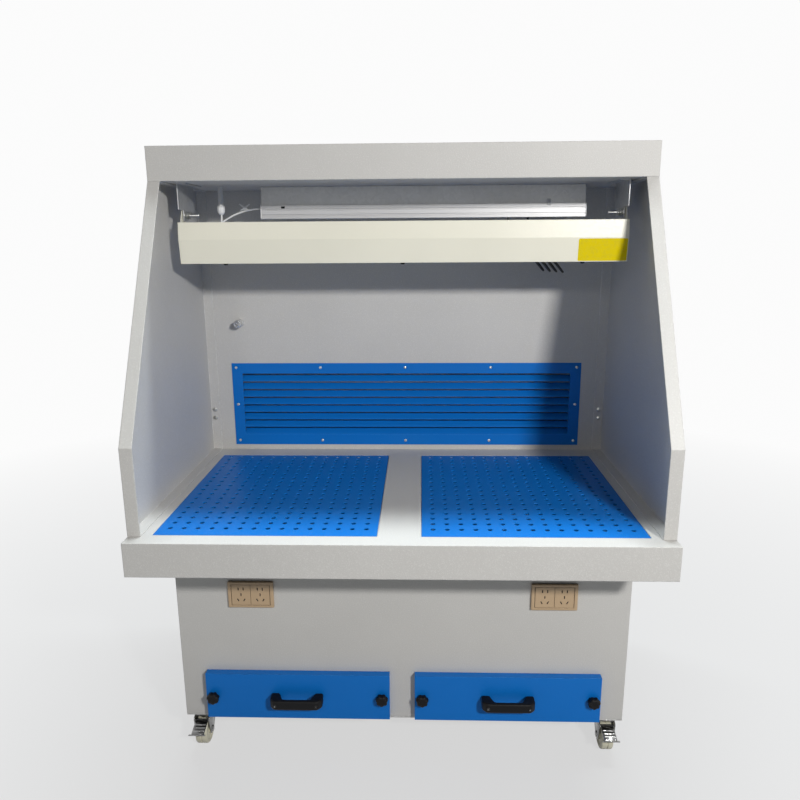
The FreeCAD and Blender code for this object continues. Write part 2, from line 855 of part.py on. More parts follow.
# Louvred grille: a screwed-on frame with sloping blades.
def build_louvre():
    grille = body("louvre_plate", ("0", Y_BACK, "table_height + louvre_lift"))
    frame = sketch(grille, "XZ_Plane")
    rectangle(frame, ("-louvre_width / 2", "0"), ("louvre_width / 2", "louvre_height"))
    rectangle(
        frame,
        ("-louvre_width / 2 + louvre_rim", "louvre_rim"),
        ("louvre_width / 2 - louvre_rim", "louvre_height - louvre_rim"),
    )
    pad(frame, "skin")
    blade = sketch(grille, "YZ_Plane")
    polygon(
        blade,
        [
            ("-skin", "louvre_rim"),
            ("blade_depth - skin", "louvre_rim + blade_drop"),
            ("blade_depth - skin", "louvre_rim + blade_drop + blade_sheet"),
            ("-skin", "louvre_rim + blade_sheet"),
        ],
    )
    first = pad(blade, "louvre_width - 2 * louvre_rim + 2 * skin", side="Symmetric")
    rows = grille.newObject("PartDesign::LinearPattern", "louvre_rows")
    rows.Originals = [first]
    rows.Direction = (blade, ["V_Axis"])
    rows.Mode = "Spacing"
    bind(rows, "Offset", "blade_pitch")
    bind(rows, "Occurrences", "floor((louvre_height - 2 * louvre_rim) / blade_pitch)")
    grille.Tip = rows
    holes = []
    screws = []
    for index, (x, z) in enumerate(louvre_screw_places()):
        face = (x, Y_BACK + " - skin", z)
        holes.append(
            clearance_hole("louvre_hole_%d" % index, ALONG_Y, face, "screw_diameter", "screw_play", "skin")
        )
        head_start = (x, Y_BACK + " - skin - screw_head_height", z)
        head = rod("screw_head_%d" % index, ALONG_Y, head_start, "screw_head", "screw_head_height")
        shank = rod("screw_shank_%d" % index, ALONG_Y, face, "screw_diameter", "screw_length")
        screws.append(fuse("louvre_screw_%d" % index, [head, shank]))
    node(cut("louvre_grille", grille, holes))
    node(group("louvre_screws", screws))


def louvre_screw_places():
    """Five screws along the top and the bottom of the frame and one halfway up each end."""
    half = "(louvre_width / 2 - louvre_screw_inset)"
    low = "table_height + louvre_lift + louvre_screw_inset"
    high = "table_height + louvre_lift + louvre_height - louvre_screw_inset"
    middle = "table_height + louvre_lift + louvre_height / 2"
    places = [("%g * %s" % (share, half), z) for z in (low, high) for share in (-1, -0.5, 0, 0.5, 1)]
    return places + [("-" + half, middle), (half, middle)]


# Air coupling on the back panel: a fixed body and a sprung sleeve that slides back to let the plug go.
def build_coupler():
    z = "table_height + coupler_rise"
    face = ("-coupler_side", Y_BACK + " - coupler_hex_length", z)
    base = hexagon("coupler_base", ALONG_Y, face, "coupler_hex", "coupler_hex_length")
    nose = ("-coupler_side", Y_BACK + " - coupler_hex_length - coupler_reach", z)
    tube = rod("coupler_tube_piece", ALONG_Y, nose, "coupler_tube", "coupler_reach")
    stem_start = ("-coupler_side", Y_BACK, z)
    stem = rod("coupler_stem_piece", ALONG_Y, stem_start, "coupler_stem", "coupler_stem_length")
    solid = fuse("coupler_solid", [base, tube, stem])
    bore = rod("coupler_bore_cut", ALONG_Y, nose, "coupler_bore", "coupler_reach")
    node(cut("coupler_body", solid, [bore]))
    sleeve_start = Y_BACK + " - coupler_hex_length - sleeve_travel - sleeve_length - screw_play"
    sleeve_place = ("-coupler_side", sleeve_start, z)
    ring = rod("sleeve_ring", ALONG_Y, sleeve_place, "sleeve_diameter", "sleeve_length")
    inside = rod(
        "sleeve_bore", ALONG_Y, sleeve_place, "coupler_tube + 2 * running_play", "sleeve_length"
    )
    node(cut("coupler_sleeve", ring, [inside]))


# Hood: a folded cap with a soffit plate let into its underside.
def build_hood():
    depth = "table_depth - hood_front"
    block = box("hood_block", ("-" + X_SIDE, Y_HOOD, Z_CEILING), ("table_width", depth, "hood_height"))
    inside = ("table_width - 2 * skin", depth + " - 2 * skin")
    low = ("-%s + skin" % X_SIDE, Y_HOOD + " + skin", Z_CEILING)
    hollow = box("hood_hollow", low, inside + ("hood_height - skin",))
    node(cut("hood_shell", block, [hollow]))
    plate = box("soffit_plate", low, inside + ("skin",))
    gland_start = ("-gland_side", "gland_at - table_depth / 2", Z_CEILING)
    gland_hole = rod("soffit_gland_hole", ALONG_Z, gland_start, "gland_diameter", "skin")
    node(cut("hood_soffit", plate, [gland_hole]))


# Lamp shade: a folded sheet with end plates, tilting on two bolts in hanging brackets.
def build_shade():
    top = "-shade_top_drop"
    crease = "-shade_top_drop - shade_upper"
    foot = "-shade_top_drop - shade_upper - shade_lower"
    upper_skin = "(shade_sheet * sqrt(1 + (shade_upper_rake / shade_upper)^2))"
    lower_skin = "(shade_sheet * sqrt(1 + (shade_rake / shade_lower)^2))"
    front = "-shade_reach"
    brow = "-shade_reach + shade_upper_rake"
    toe = "-shade_reach + shade_rake"
    heel = toe + " + shade_bottom_return"
    shade = body("lamp_shade", ("0", Y_PIVOT, Z_PIVOT))
    ends = sketch(shade, "YZ_Plane")
    polygon(
        ends,
        [
            (brow, top),
            (front, crease),
            (toe, foot),
            (heel, foot),
            ("lug_radius", "-lug_radius"),
            ("lug_radius", "lug_radius"),
            ("-lug_radius", "lug_radius"),
            (brow + " + shade_top_return", top),
        ],
    )
    pad(ends, "shade_width", side="Symmetric")
    inside = sketch(shade, "YZ_Plane")
    polygon(
        inside,
        [
            (brow + " + " + upper_skin, top + " - shade_sheet"),
            (front + " + " + lower_skin, crease),
            (toe + " + " + lower_skin, foot + " + shade_sheet"),
            (heel + " + 4 * lug_radius", foot + " + shade_sheet"),
            ("4 * lug_radius", "4 * lug_radius"),
            (brow + " + shade_top_return", "4 * lug_radius"),
            (brow + " + shade_top_return", top + " - shade_sheet"),
        ],
    )
    pocket(inside, "shade_width - 2 * shade_sheet", side="Symmetric")
    pivot = sketch(shade, "YZ_Plane")
    circle(pivot, "0", "0", "pivot_diameter + 2 * running_play")
    pocket(pivot, "shade_width + 2 * shade_sheet", side="Symmetric")
    node(shade)


# Hanging brackets of the shade, with a flange under the soffit.
def build_shade_brackets():
    brackets = []
    for side, sign in SIDES:
        inner_face = "shade_width / 2 - shade_sheet - bracket_gap"
        bracket = body(side + "_bracket", (signed(sign, inner_face), Y_PIVOT, Z_PIVOT))
        web = sketch(bracket, "YZ_Plane")
        polygon(
            web,
            [
                ("-lug_radius", "-lug_radius"),
                ("lug_radius", "-lug_radius"),
                ("bracket_behind", "pivot_drop - bracket_web"),
                ("bracket_behind", "pivot_drop"),
                ("-bracket_ahead", "pivot_drop"),
                ("-bracket_ahead", "pivot_drop - bracket_web"),
                ("-lug_radius", "lug_radius"),
            ],
        )
        pad(web, "bracket_sheet", back=sign > 0)
        flange = sketch(bracket, "YZ_Plane")
        rectangle(
            flange, ("-bracket_ahead", "pivot_drop - bracket_sheet"), ("bracket_behind", "pivot_drop")
        )
        pad(flange, "bracket_flange", back=sign > 0)
        pivot = sketch(bracket, "YZ_Plane")
        circle(pivot, "0", "0", "pivot_diameter")
        pocket(pivot, "4 * bracket_sheet", side="Symmetric")
        brackets.append(bracket)
    node(group("shade_brackets", brackets))


# Lamp: a channel under the soffit, an extruded body and a diffuser set into its underside.
def build_lamp():
    x = "lamp_offset - lamp_length / 2"
    channel_y = Y_LAMP + " - lamp_channel_width / 2"
    channel_z = Z_CEILING + " - lamp_channel_height"
    channel = box(
        "lamp_channel_block",
        (x, channel_y, channel_z),
        ("lamp_length", "lamp_channel_width", "lamp_channel_height"),
    )
    hollow = box(
        "lamp_channel_hollow",
        (x + " + lamp_channel_sheet", channel_y + " + lamp_channel_sheet", channel_z),
        (
            "lamp_length - 2 * lamp_channel_sheet",
            "lamp_channel_width - 2 * lamp_channel_sheet",
            "lamp_channel_height - lamp_channel_sheet",
        ),
    )
    node(cut("lamp_channel", channel, [hollow]))
    lamp = body("lamp_body", ("lamp_offset", Y_LAMP, Z_LAMP))
    section = sketch(lamp, "YZ_Plane")
    rectangle(section, ("-lamp_body_width / 2", "0"), ("lamp_body_width / 2", "lamp_body_height"))
    pad(section, "lamp_length", side="Symmetric")
    cavity = sketch(lamp, "YZ_Plane")
    rectangle(cavity, ("-lamp_cavity_width / 2", "0"), ("lamp_cavity_width / 2", "lamp_cavity_depth"))
    pocket(cavity, "lamp_length - 2 * lamp_end_wall", side="Symmetric")
    for step in range(int(size("lamp_grooves"))):
        groove = sketch(lamp, "YZ_Plane")
        low = "lamp_groove_first + %d * lamp_groove_pitch - lamp_groove / 2" % step
        high = "lamp_groove_first + %d * lamp_groove_pitch + lamp_groove / 2" % step
        rectangle(groove, ("-lamp_body_width / 2", low), ("-lamp_body_width / 2 + lamp_groove_depth", high))
        pocket(groove, "lamp_length", side="Symmetric")
    node(lamp)
    node(
        box(
            "lamp_diffuser",
            (x + " + diffuser_inset", Y_LAMP + " - lamp_cavity_width / 2", Z_LAMP),
            ("lamp_length - 2 * diffuser_inset", "lamp_cavity_width", "diffuser_height"),
        )
    )


def tube_along(edges, diameter):
    """A round tube along a path of straight runs and tangent arcs."""
    path = Part.Wire(edges)
    start = edges[0].Vertexes[0].Point
    first = edges[0]
    heading = first.tangentAt(first.FirstParameter)
    section = Part.Wire(Part.makeCircle(diameter / 2, start, heading))
    shell = Part.BRepOffsetAPI.MakePipeShell(path)
    shell.add(section)
    shell.build()
    shell.makeSolid()
    solid = shell.shape()
    expected = math.pi * diameter ** 2 / 4 * path.Length
    if abs(solid.Volume - expected) > 0.02 * expected:
        raise RuntimeError("tube volume is off")
    return solid, path


def rounded_route(points):
    """Straight runs through the points, joined by arcs that take a share of the shorter run of each pair."""
    edges = []
    radii = []
    share = 0.45
    start = points[0]
    for before, corner, after in zip(points, points[1:], points[2:]):
        back = (before - corner).normalize()
        ahead = (after - corner).normalize()
        reach = share * min((before - corner).Length, (after - corner).Length)
        half_turn = (math.pi - back.getAngle(ahead)) / 2
        radius = reach / math.tan(half_turn)
        middle = (back + ahead).normalize()
        inset = radius / math.cos(half_turn) - radius
        edges.append(Part.makeLine(start, corner + back * reach))
        arc = Part.Arc(corner + back * reach, corner + middle * inset, corner + ahead * reach)
        edges.append(arc.toShape())
        start = corner + ahead * reach
        radii.append(round(radius, 1))
    edges.append(Part.makeLine(start, points[-1]))
    return edges, radii


# Lamp lead: from the gland in the soffit down in a sag, back behind it and up to the lamp's end.
def build_lamp_lead():
    gland_y = "gland_at - table_depth / 2"
    stem_low = Z_CEILING + " - gland_length"
    stem = rod(
        "gland_stem", ALONG_Z, ("-gland_side", gland_y, stem_low), "gland_diameter", "gland_length + skin"
    )
    nut_low = stem_low + " - gland_nut_length"
    nut = rod("gland_nut_piece", ALONG_Z, ("-gland_side", gland_y, nut_low), "gland_nut", "gland_nut_length")
    node(fuse("lead_gland", [stem, nut]))
    ceiling = size("table_height") + size("shield_height")
    low_end = ceiling - size("gland_length") - size("gland_nut_length")
    x = size("gland_inset") - size("table_width") / 2
    y = size("table_depth") / 2 - size("gland_rear")
    lamp_x = size("lamp_left") - size("table_width") / 2
    lamp_y = size("table_depth") / 2 - size("lamp_rear")
    lamp_z = ceiling - size("lamp_channel_height") - size("lead_drop")
    sag = low_end - size("lead_sag")
    points = [
        Vector(x, y, low_end),
        Vector(x, y, sag),
        Vector(x - size("lead_low_run"), y + size("lead_low_set"), sag),
        Vector(x + size("lead_high_run"), lamp_y, lamp_z),
        Vector(lamp_x, lamp_y, lamp_z),
    ]
    edges, radii = rounded_route(points)
    solid, path = tube_along(edges, size("lead_diameter"))
    print("lamp lead: length %.0f, radii %s" % (path.Length, radii))
    lead = doc.addObject("Part::Feature", "lamp_lead")
    lead.Shape = solid
    node(lead)


# Spare cable: a hank of leaning loops, folded front to back, with both ends in the lamp's underside.
def build_cable_hank():
    diameter = size("cable_diameter")
    inset = size("cable_exit_inset")
    lamp_front = size("table_depth") / 2 - size("lamp_rear") - size("lamp_body_width") / 2
    lamp_rear = lamp_front + size("lamp_body_width")
    lamp_under = (
        size("table_height") + size("shield_height") - size("lamp_channel_height") - size("lamp_body_height")
    )
    loops = int(size("hank_loops"))
    lean = math.radians(size("cable_lean"))
    along = Vector(math.sin(lean), 0, -math.cos(lean))
    across = Vector(math.cos(lean), 0, math.sin(lean))
    upright = Vector(0, 0, 1)
    bend = size("cable_bend")
    stub = upright * size("cable_stub")
    bend_offset = Vector(bend * (1 - math.cos(lean)), 0, -bend * math.sin(lean))
    half_lean = lean / 2
    bend_middle = Vector(bend * (1 - math.cos(half_lean)), 0, -bend * math.sin(half_lean))
    step = size("hank_step")
    deep = Vector(0, lamp_rear - lamp_front - 2 * inset, 0)
    out_shift = across * step + deep
    back_shift = across * step - deep
    length = size("hank_length")

    exit_x = size("table_width") / 2 - size("cable_exit_side")
    start = Vector(exit_x, lamp_front + inset, lamp_under)
    bend_start = start - stub
    here = bend_start + bend_offset
    edges = [Part.makeLine(start, bend_start)]
    edges.append(Part.Arc(bend_start, bend_start + bend_middle, here).toShape())
    level = here.z
    for loop in range(loops):
        down = length + (size("hank_neck") if loop == 0 else 2 * step)
        low = here + along * down
        low_middle = low + out_shift * 0.5 + along * (out_shift.Length / 2)
        edges.append(Part.makeLine(here, low))
        edges.append(Part.Arc(low, low_middle, low + out_shift).toShape())
        low = low + out_shift
        if loop < loops - 1:
            high = low - along * length
            high_middle = high + back_shift * 0.5 - along * (back_shift.Length / 2)
            edges.append(Part.makeLine(low, high))
            edges.append(Part.Arc(high, high_middle, high + back_shift).toShape())
            here = high + back_shift
    here = low - along * ((level - low.z) / math.cos(lean))
    edges.append(Part.makeLine(low, here))
    bend_end = here - bend_offset
    edges.append(Part.Arc(here, bend_end + bend_middle, bend_end).toShape())
    edges.append(Part.makeLine(bend_end, bend_end + stub))
    solid, path = tube_along(edges, diameter)
    gap = least_gap(path, diameter)
    print("cable hank: length %.0f, least gap to itself %.2f" % (path.Length, gap))
    if gap < size("hank_clearance"):
        raise RuntimeError("the hank touches itself")
    hank = doc.addObject("Part::Feature", "cable_hank")
    hank.Shape = solid
    node(hank)


def least_gap(path, diameter):
    """The least distance between two stretches of one tube that aren't neighbours along it."""
    spacing = diameter / 3
    points = path.discretize(Distance=spacing)
    apart = int(math.pi * diameter / spacing)
    least = path.Length
    for index, here in enumerate(points):
        for there in points[index + apart:]:
            least = min(least, here.distanceToPoint(there))
    return least - diameter


# Twin sockets in the base's front: a face plate and its body, with pin slots.
def build_sockets():
    for side, sign in SIDES:
        place = (signed(sign, "socket_centre"), Y_BASE, "table_height - socket_drop")
        unit = body(side + "_socket", place)
        face = sketch(unit, "XZ_Plane")
        rectangle(
            face, ("-socket_width / 2", "-socket_height / 2"), ("socket_width / 2", "socket_height / 2")
        )
        pad(face, "socket_sheet")
        back = sketch(unit, "XZ_Plane")
        rectangle(
            back,
            ("-socket_body_width / 2", "-socket_body_height / 2"),
            ("socket_body_width / 2", "socket_body_height / 2"),
        )
        pad(back, "socket_body_depth", back=True)
        slots = sketch(unit, "XZ_Plane", "socket_sheet")
        for middle in ("-socket_module / 2", "socket_module / 2"):
            for x, z, slant in (
                ("-pin_spread", "pin_upper", "0"),
                ("pin_spread", "pin_upper", "0"),
                ("0", "-pin_earth", "0"),
                ("-pin_slant_spread", "-pin_lower", "pin_slant"),
                ("pin_slant_spread", "-pin_lower", "-pin_slant"),
            ):
                polygon(slots, pin_slot("(%s + %s)" % (middle, x), z, slant))
        pocket(slots, "pin_slot_depth")
        node(unit)


def pin_slot(x, z, slant):
    """The four corners of one pin slot, whose upper end leans to the left by the slant."""
    corners = []
    for across, along in ((-1, -1), (1, -1), (1, 1), (-1, 1)):
        half_width = signed(across, "pin_slot_width / 2")
        half_height = signed(along, "pin_slot_height / 2")
        corner_x = "%s + %s * cos(%s) - %s * sin(%s)" % (x, half_width, slant, half_height, slant)
        corner_z = "%s + %s * sin(%s) + %s * cos(%s)" % (z, half_width, slant, half_height, slant)
        corners.append((corner_x, corner_z))
    return corners


def knob_places(sign):
    """The two clamping knobs of one drawer, towards its ends."""
    reach = "(drawer_width / 2 - knob_inset)"
    middle = signed(sign, "drawer_centre")
    outer = "%s + %s" % (middle, signed(sign, reach))
    inner = "%s - %s" % (middle, signed(sign, reach))
    return [("outer", outer), ("inner", inner)]


# Dust drawers: a folded front, a tray, a bridge handle and two clamping knobs, on angle rails.
def build_drawers():
    rails = []
    for side, sign in SIDES:
        middle = signed(sign, "drawer_centre")
        left = middle + " - drawer_width / 2"
        face = box(
            side + "_drawer_block",
            (left, Y_DRAWER, Z_DRAWER),
            ("drawer_width", "drawer_face_depth", "drawer_height"),
        )
        hollow = box(
            side + "_drawer_hollow",
            (left + " + drawer_sheet", Y_DRAWER + " + drawer_sheet", Z_DRAWER + " + drawer_sheet"),
            (
                "drawer_width - 2 * drawer_sheet",
                "drawer_face_depth - 2 * drawer_sheet",
                "drawer_height - 2 * drawer_sheet",
            ),
        )
        opening = box(
            side + "_drawer_opening",
            (
                left + " + drawer_lip",
                Y_DRAWER + " + drawer_face_depth - 2 * drawer_sheet",
                Z_DRAWER + " + drawer_lip",
            ),
            ("drawer_width - 2 * drawer_lip", "2 * drawer_sheet", "drawer_height - 2 * drawer_lip"),
        )
        cutters = [hollow, opening]
        knob_height = Z_DRAWER + " + drawer_height / 2"
        for end, x in knob_places(sign):
            hole = clearance_hole(
                "%s_%s_face_hole" % (side, end),
                ALONG_Y,
                (x, Y_DRAWER, knob_height),
                "stud_diameter",
                "stud_play",
                "drawer_sheet",
            )
            cutters.append(hole)
            build_knob("%s_%s_knob" % (side, end), (x, Y_DRAWER, knob_height))
        node(cut(side + "_drawer_front", face, cutters))
        tray_x = middle + " - tray_width / 2"
        tray_y = Y_DRAWER + " + drawer_sheet"
        outline = ("tray_width", "tray_depth", "tray_height")
        tray = box(side + "_tray_block", (tray_x, tray_y, Z_TRAY), outline)
        inside = box(
            side + "_tray_inside",
            (tray_x + " + drawer_sheet", tray_y + " + drawer_sheet", Z_TRAY + " + drawer_sheet"),
            ("tray_width - 2 * drawer_sheet", "tray_depth - 2 * drawer_sheet", "tray_height"),
        )
        node(cut(side + "_drawer_tray", tray, [inside]))
        build_handle(side + "_drawer_handle", (middle, Y_DRAWER, knob_height))
        for end, offset in SIDES:
            rail_x = "%s + %s" % (middle, signed(offset, "(tray_width / 2 - rail_inset)"))
            rails.append(build_rail("%s_%s_rail" % (side, end), rail_x))
    node(group("drawer_rails", rails))


def build_rail(name, x):
    """An angle rail on the base floor, under one edge of a tray."""
    start = Y_BASE + " + skin"
    length = "filter_wall_at - base_front - 2 * skin"
    rise = "(drawer_lift + tray_lift - floor_sheet - slide_play)"
    web = box(name + "_web", (x, start, Z_FLOOR), ("rail_sheet", length, rise))
    shelf_x = "%s - rail_width / 2" % x
    shelf_z = "%s + %s - rail_sheet" % (Z_FLOOR, rise)
    shelf = box(name + "_shelf", (shelf_x, start, shelf_z), ("rail_width", length, "rail_sheet"))
    return fuse(name, [web, shelf])


def build_handle(name, place):
    """A moulded bridge handle with a finger gap behind its grip."""
    handle = body(name, place)
    profile = sketch(handle, "XY_Plane")
    half = "handle_length / 2"
    foot = half + " - handle_foot"
    polygon(
        profile,
        [
            ("-%s" % half, "0"),
            ("-%s" % half, "-handle_reach + handle_chamfer"),
            ("-%s + handle_chamfer" % half, "-handle_reach"),
            ("%s - handle_chamfer" % half, "-handle_reach"),
            (half, "-handle_reach + handle_chamfer"),
            (half, "0"),
            (foot, "0"),
            (foot + " - handle_chamfer", "-handle_reach + handle_grip"),
            ("-(%s - handle_chamfer)" % foot, "-handle_reach + handle_grip"),
            ("-(%s)" % foot, "0"),
        ],
    )
    grown = pad(profile, "handle_height", side="Symmetric")
    handle.recompute(True)
    edges = [
        "Edge%d" % (index + 1)
        for index, edge in enumerate(grown.Shape.Edges)
        if abs(edge.CenterOfMass.y) > 0.001
    ]
    rounded = handle.newObject("PartDesign::Fillet", name + "_rounded")
    rounded.Base = (grown, edges)
    bind(rounded, "Radius", "handle_round")
    handle.Tip = rounded
    node(handle)


def build_knob(name, place):
    """A star knob with its moulded-in stud, which clamps the drawer front to the cabinet."""
    knob = body(name, place)
    neck = sketch(knob, "XZ_Plane")
    circle(neck, "0", "0", "knob_neck")
    pad(neck, "knob_neck_length")
    grip = sketch(knob, "XZ_Plane", "knob_neck_length")
    circle(grip, "0", "0", "knob_diameter")
    pad(grip, "knob_height")
    dent = sketch(knob, "XZ_Plane", "knob_neck_length + knob_height")
    circle(dent, "0", "knob_diameter / 2 + knob_scallop / 4", "knob_scallop")
    dent_cut = pocket(dent, "knob_height")
    ring_of(dent_cut, dent, "N_Axis", "knob_lobes")
    stud = sketch(knob, "XZ_Plane")
    circle(stud, "0", "0", "stud_diameter")
    pad(stud, "stud_reach", back=True)
    node(knob)


# Filter cartridges: three hollow cylinders that stand out from the filter wall.
def build_filters():
    cartridges = []
    for place in (-1, 0, 1):
        port = (signed(place, "filter_spacing"), Y_FILTER_WALL, Z_FILTER)
        cartridge = body("cartridge_%d" % (place + 2), port)
        half = sketch(cartridge, "YZ_Plane")
        polygon(
            half,
            [
                ("0", "filter_bore / 2"),
                ("0", "filter_flange / 2"),
                ("-filter_cap", "filter_flange / 2"),
                ("-filter_cap", "filter_diameter / 2"),
                ("-filter_length", "filter_diameter / 2"),
                ("-filter_length", "0"),
                ("-filter_length + filter_cap", "0"),
                ("-filter_length + filter_cap", "filter_bore / 2"),
            ],
        )
        revolve(half)
        cartridges.append(cartridge)
    node(group("filter_cartridges", cartridges))


# Pulse cleaning: an air tank with a valve and a blow pipe for each cartridge.
def build_pulse_cleaning():
    tank_y = Y_BASE_REAR + " - skin - tank_standoff"
    start = ("-tank_length / 2", tank_y, Z_FILTER)
    pieces = [rod("tank_drum", ALONG_X, start, "tank_diameter", "tank_length")]
    for side, sign in SIDES:
        lug_x = "%s - tank_lug / 2" % signed(sign, "tank_lug_spacing / 2")
        lug_low = (lug_x, tank_y, Z_FILTER + " - tank_lug / 2")
        pieces.append(box(side + "_tank_lug", lug_low, ("tank_lug", "tank_standoff", "tank_lug")))
    inside = rod(
        "tank_inside",
        ALONG_X,
        ("-tank_length / 2 + tank_sheet", tank_y, Z_FILTER),
        "tank_diameter - 2 * tank_sheet",
        "tank_length - 2 * tank_sheet",
    )
    drain = rod("tank_drain_port", ALONG_X, start, "tank_drain", "2 * tank_sheet")
    node(cut("air_tank", fuse("tank_solid", pieces), [inside, drain]))
    valves = []
    for place in (-1, 0, 1):
        x = signed(place, "filter_spacing")
        tank_front = tank_y + " - tank_diameter / 2"
        valve_start = (x, tank_front + " - valve_length", Z_FILTER)
        pipe_start = (x, tank_front + " - valve_length - blow_pipe_length", Z_FILTER)
        name = "pulse_valve_%d" % (place + 2)
        block_length = "valve_length + tank_diameter / 4"
        block = rod(name + "_block", ALONG_Y, valve_start, "valve_diameter", block_length)
        pipe = rod(name + "_pipe", ALONG_Y, pipe_start, "blow_pipe", "blow_pipe_length")
        saddle = rod(name + "_saddle", ALONG_X, start, "tank_diameter", "tank_length")
        valves.append(cut(name, fuse(name + "_solid", [block, pipe]), [saddle]))
    node(group("pulse_valves", valves))


# Fan: a scroll case that blows out of the rear panel, its motor and its wheel.
def build_fan():
    y = "(%s - skin - fan_standoff)" % Y_BASE_REAR
    x = "(fan_x - fan_case_width / 2)"
    bottom = "fan_height - fan_case_diameter / 2"
    inside_width = "fan_case_width - 2 * fan_case_sheet"
    drum = rod("fan_drum", ALONG_X, (x, y, "fan_height"), "fan_case_diameter", "fan_case_width")
    outlet = box("fan_outlet_duct", (x, y, bottom), ("fan_case_width", "fan_standoff", "fan_outlet"))
    foot = box(
        "fan_foot",
        (x, y + " - fan_foot_depth / 2", Z_FLOOR),
        ("fan_case_width", "fan_foot_depth", "fan_height - fan_case_diameter / 4 - " + Z_FLOOR),
    )
    inner_x = x + " + fan_case_sheet"
    inside_diameter = "fan_case_diameter - 2 * fan_case_sheet"
    drum_inside = rod(
        "fan_drum_inside", ALONG_X, (inner_x, y, "fan_height"), inside_diameter, inside_width
    )
    outlet_inside = box(
        "fan_outlet_inside",
        (inner_x, y, bottom + " + fan_case_sheet"),
        (inside_width, "fan_standoff", "fan_outlet - 2 * fan_case_sheet"),
    )
    inlet = rod("fan_inlet_cut", ALONG_X, (x, y, "fan_height"), "fan_inlet", "fan_case_sheet")
    wall_x = "fan_x + fan_case_width / 2 - fan_case_sheet"
    wall_hole = rod("fan_wall_cut", ALONG_X, (wall_x, y, "fan_height"), "fan_wall_hole", "fan_case_sheet")
    case = fuse("fan_case_solid", [drum, outlet, foot])
    node(cut("fan_housing", case, [drum_inside, outlet_inside, inlet, wall_hole]))
    motor_start = ("fan_x + fan_case_width / 2", y, "fan_height")
    flange = rod("motor_flange_piece", ALONG_X, motor_start, "motor_flange", "motor_flange_sheet")
    shell = rod("motor_shell", ALONG_X, motor_start, "motor_diameter", "motor_length")
    seat = rod("motor_bore", ALONG_X, motor_start, "fan_shaft + 2 * running_play", "fan_shaft_length")
    node(cut("fan_motor", fuse("fan_motor_solid", [flange, shell]), [seat]))
    build_impeller(y)


def build_impeller(y):
    """A radial fan wheel with a back disc, blades, a front ring and the shaft that enters the motor."""
    wheel = body("fan_impeller", ("fan_x", y, "fan_height"))
    disc = sketch(wheel, "YZ_Plane", "impeller_width / 2 - fan_blade_sheet")
    circle(disc, "0", "0", "impeller_diameter")
    pad(disc, "fan_blade_sheet")
    hub = sketch(wheel, "YZ_Plane", "impeller_width / 2 - fan_hub_length")
    circle(hub, "0", "0", "fan_hub")
    pad(hub, "fan_hub_length")
    blade = sketch(wheel, "YZ_Plane", "-impeller_width / 2")
    rectangle(
        blade,
        ("-fan_blade_sheet / 2", "fan_hub / 2 + fan_blade_sheet"),
        ("fan_blade_sheet / 2", "impeller_diameter / 2 - fan_blade_sheet"),
    )
    first = pad(blade, "impeller_width")
    ring_of(first, blade, "N_Axis", "fan_blades")
    rim = sketch(wheel, "YZ_Plane", "-impeller_width / 2")
    circle(rim, "0", "0", "impeller_diameter")
    circle(rim, "0", "0", "fan_inlet")
    pad(rim, "fan_blade_sheet")
    shaft = sketch(wheel, "YZ_Plane")
    circle(shaft, "0", "0", "fan_shaft")
    pad(shaft, "fan_case_width / 2 + fan_shaft_length - fan_blade_sheet")
    node(wheel)


def caster_places():
    """The four swivel axes, with the braked pair in front."""
    places = []
    for end, y in (
        ("front", Y_BASE + " + caster_end"),
        ("rear", Y_BASE_REAR + " - caster_end"),
    ):
        for side, sign in SIDES:
            places.append(("%s_%s" % (end, side), signed(sign, X_BASE + " - caster_side"), y))
    return places


def caster_bolt_places():
    """Four bolts round each swivel axis."""
    places = []
    for name, x, y in caster_places():
        for index, (across, along) in enumerate(((-1, -1), (1, -1), (1, 1), (-1, 1))):
            places.append(
                (
                    "%s_%d" % (name, index),
                    "%s + %s" % (x, signed(across, "caster_bolt_across / 2")),
                    "%s + %s" % (y, signed(along, "caster_bolt_along / 2")),
                )
            )
    return places


def caster_bolt_holes(prefix, z, length):
    """Cutters for the bolts of all four casters."""
    holes = []
    for name, x, y in caster_bolt_places():
        start = (x, y, z)
        holes.append(
            clearance_hole("%s_%s" % (prefix, name), ALONG_Z, start, "pivot_diameter", "bolt_play", length)
        )
    return holes


# Casters: a bolted top plate with its bearing race, a swivel fork, a wheel and a brake pedal in front.
def build_casters():
    plates = []
    plate_z = "caster_height - caster_plate_sheet"
    for name, x, y in caster_places():
        plate = box(
            name + "_plate_block",
            (x + " - caster_plate_width / 2", y + " - caster_plate_depth / 2", plate_z),
            ("caster_plate_width", "caster_plate_depth", "caster_plate_sheet"),
        )
        race_start = (x, y, plate_z + " - caster_race_height")
        race = rod(name + "_race", ALONG_Z, race_start, "caster_race", "caster_race_height")
        plates.append(fuse(name + "_plate", [plate, race]))
    holes = caster_bolt_holes("plate_hole", plate_z, "caster_plate_sheet")
    node(cut("caster_plates", group("caster_plate_set", plates), holes))
    for name, x, y in caster_places():
        braked = name.startswith("front")
        build_fork(name + "_fork", (x, y, "0"), braked)
        build_wheel(name + "_wheel", (x, y + " - caster_trail", "wheel_diameter / 2"))
        if braked:
            build_pedal(
                name + "_brake_pedal",
                (x, y + " - caster_trail - pedal_pin_ahead", "wheel_diameter / 2 + pedal_pin_rise"),
            )


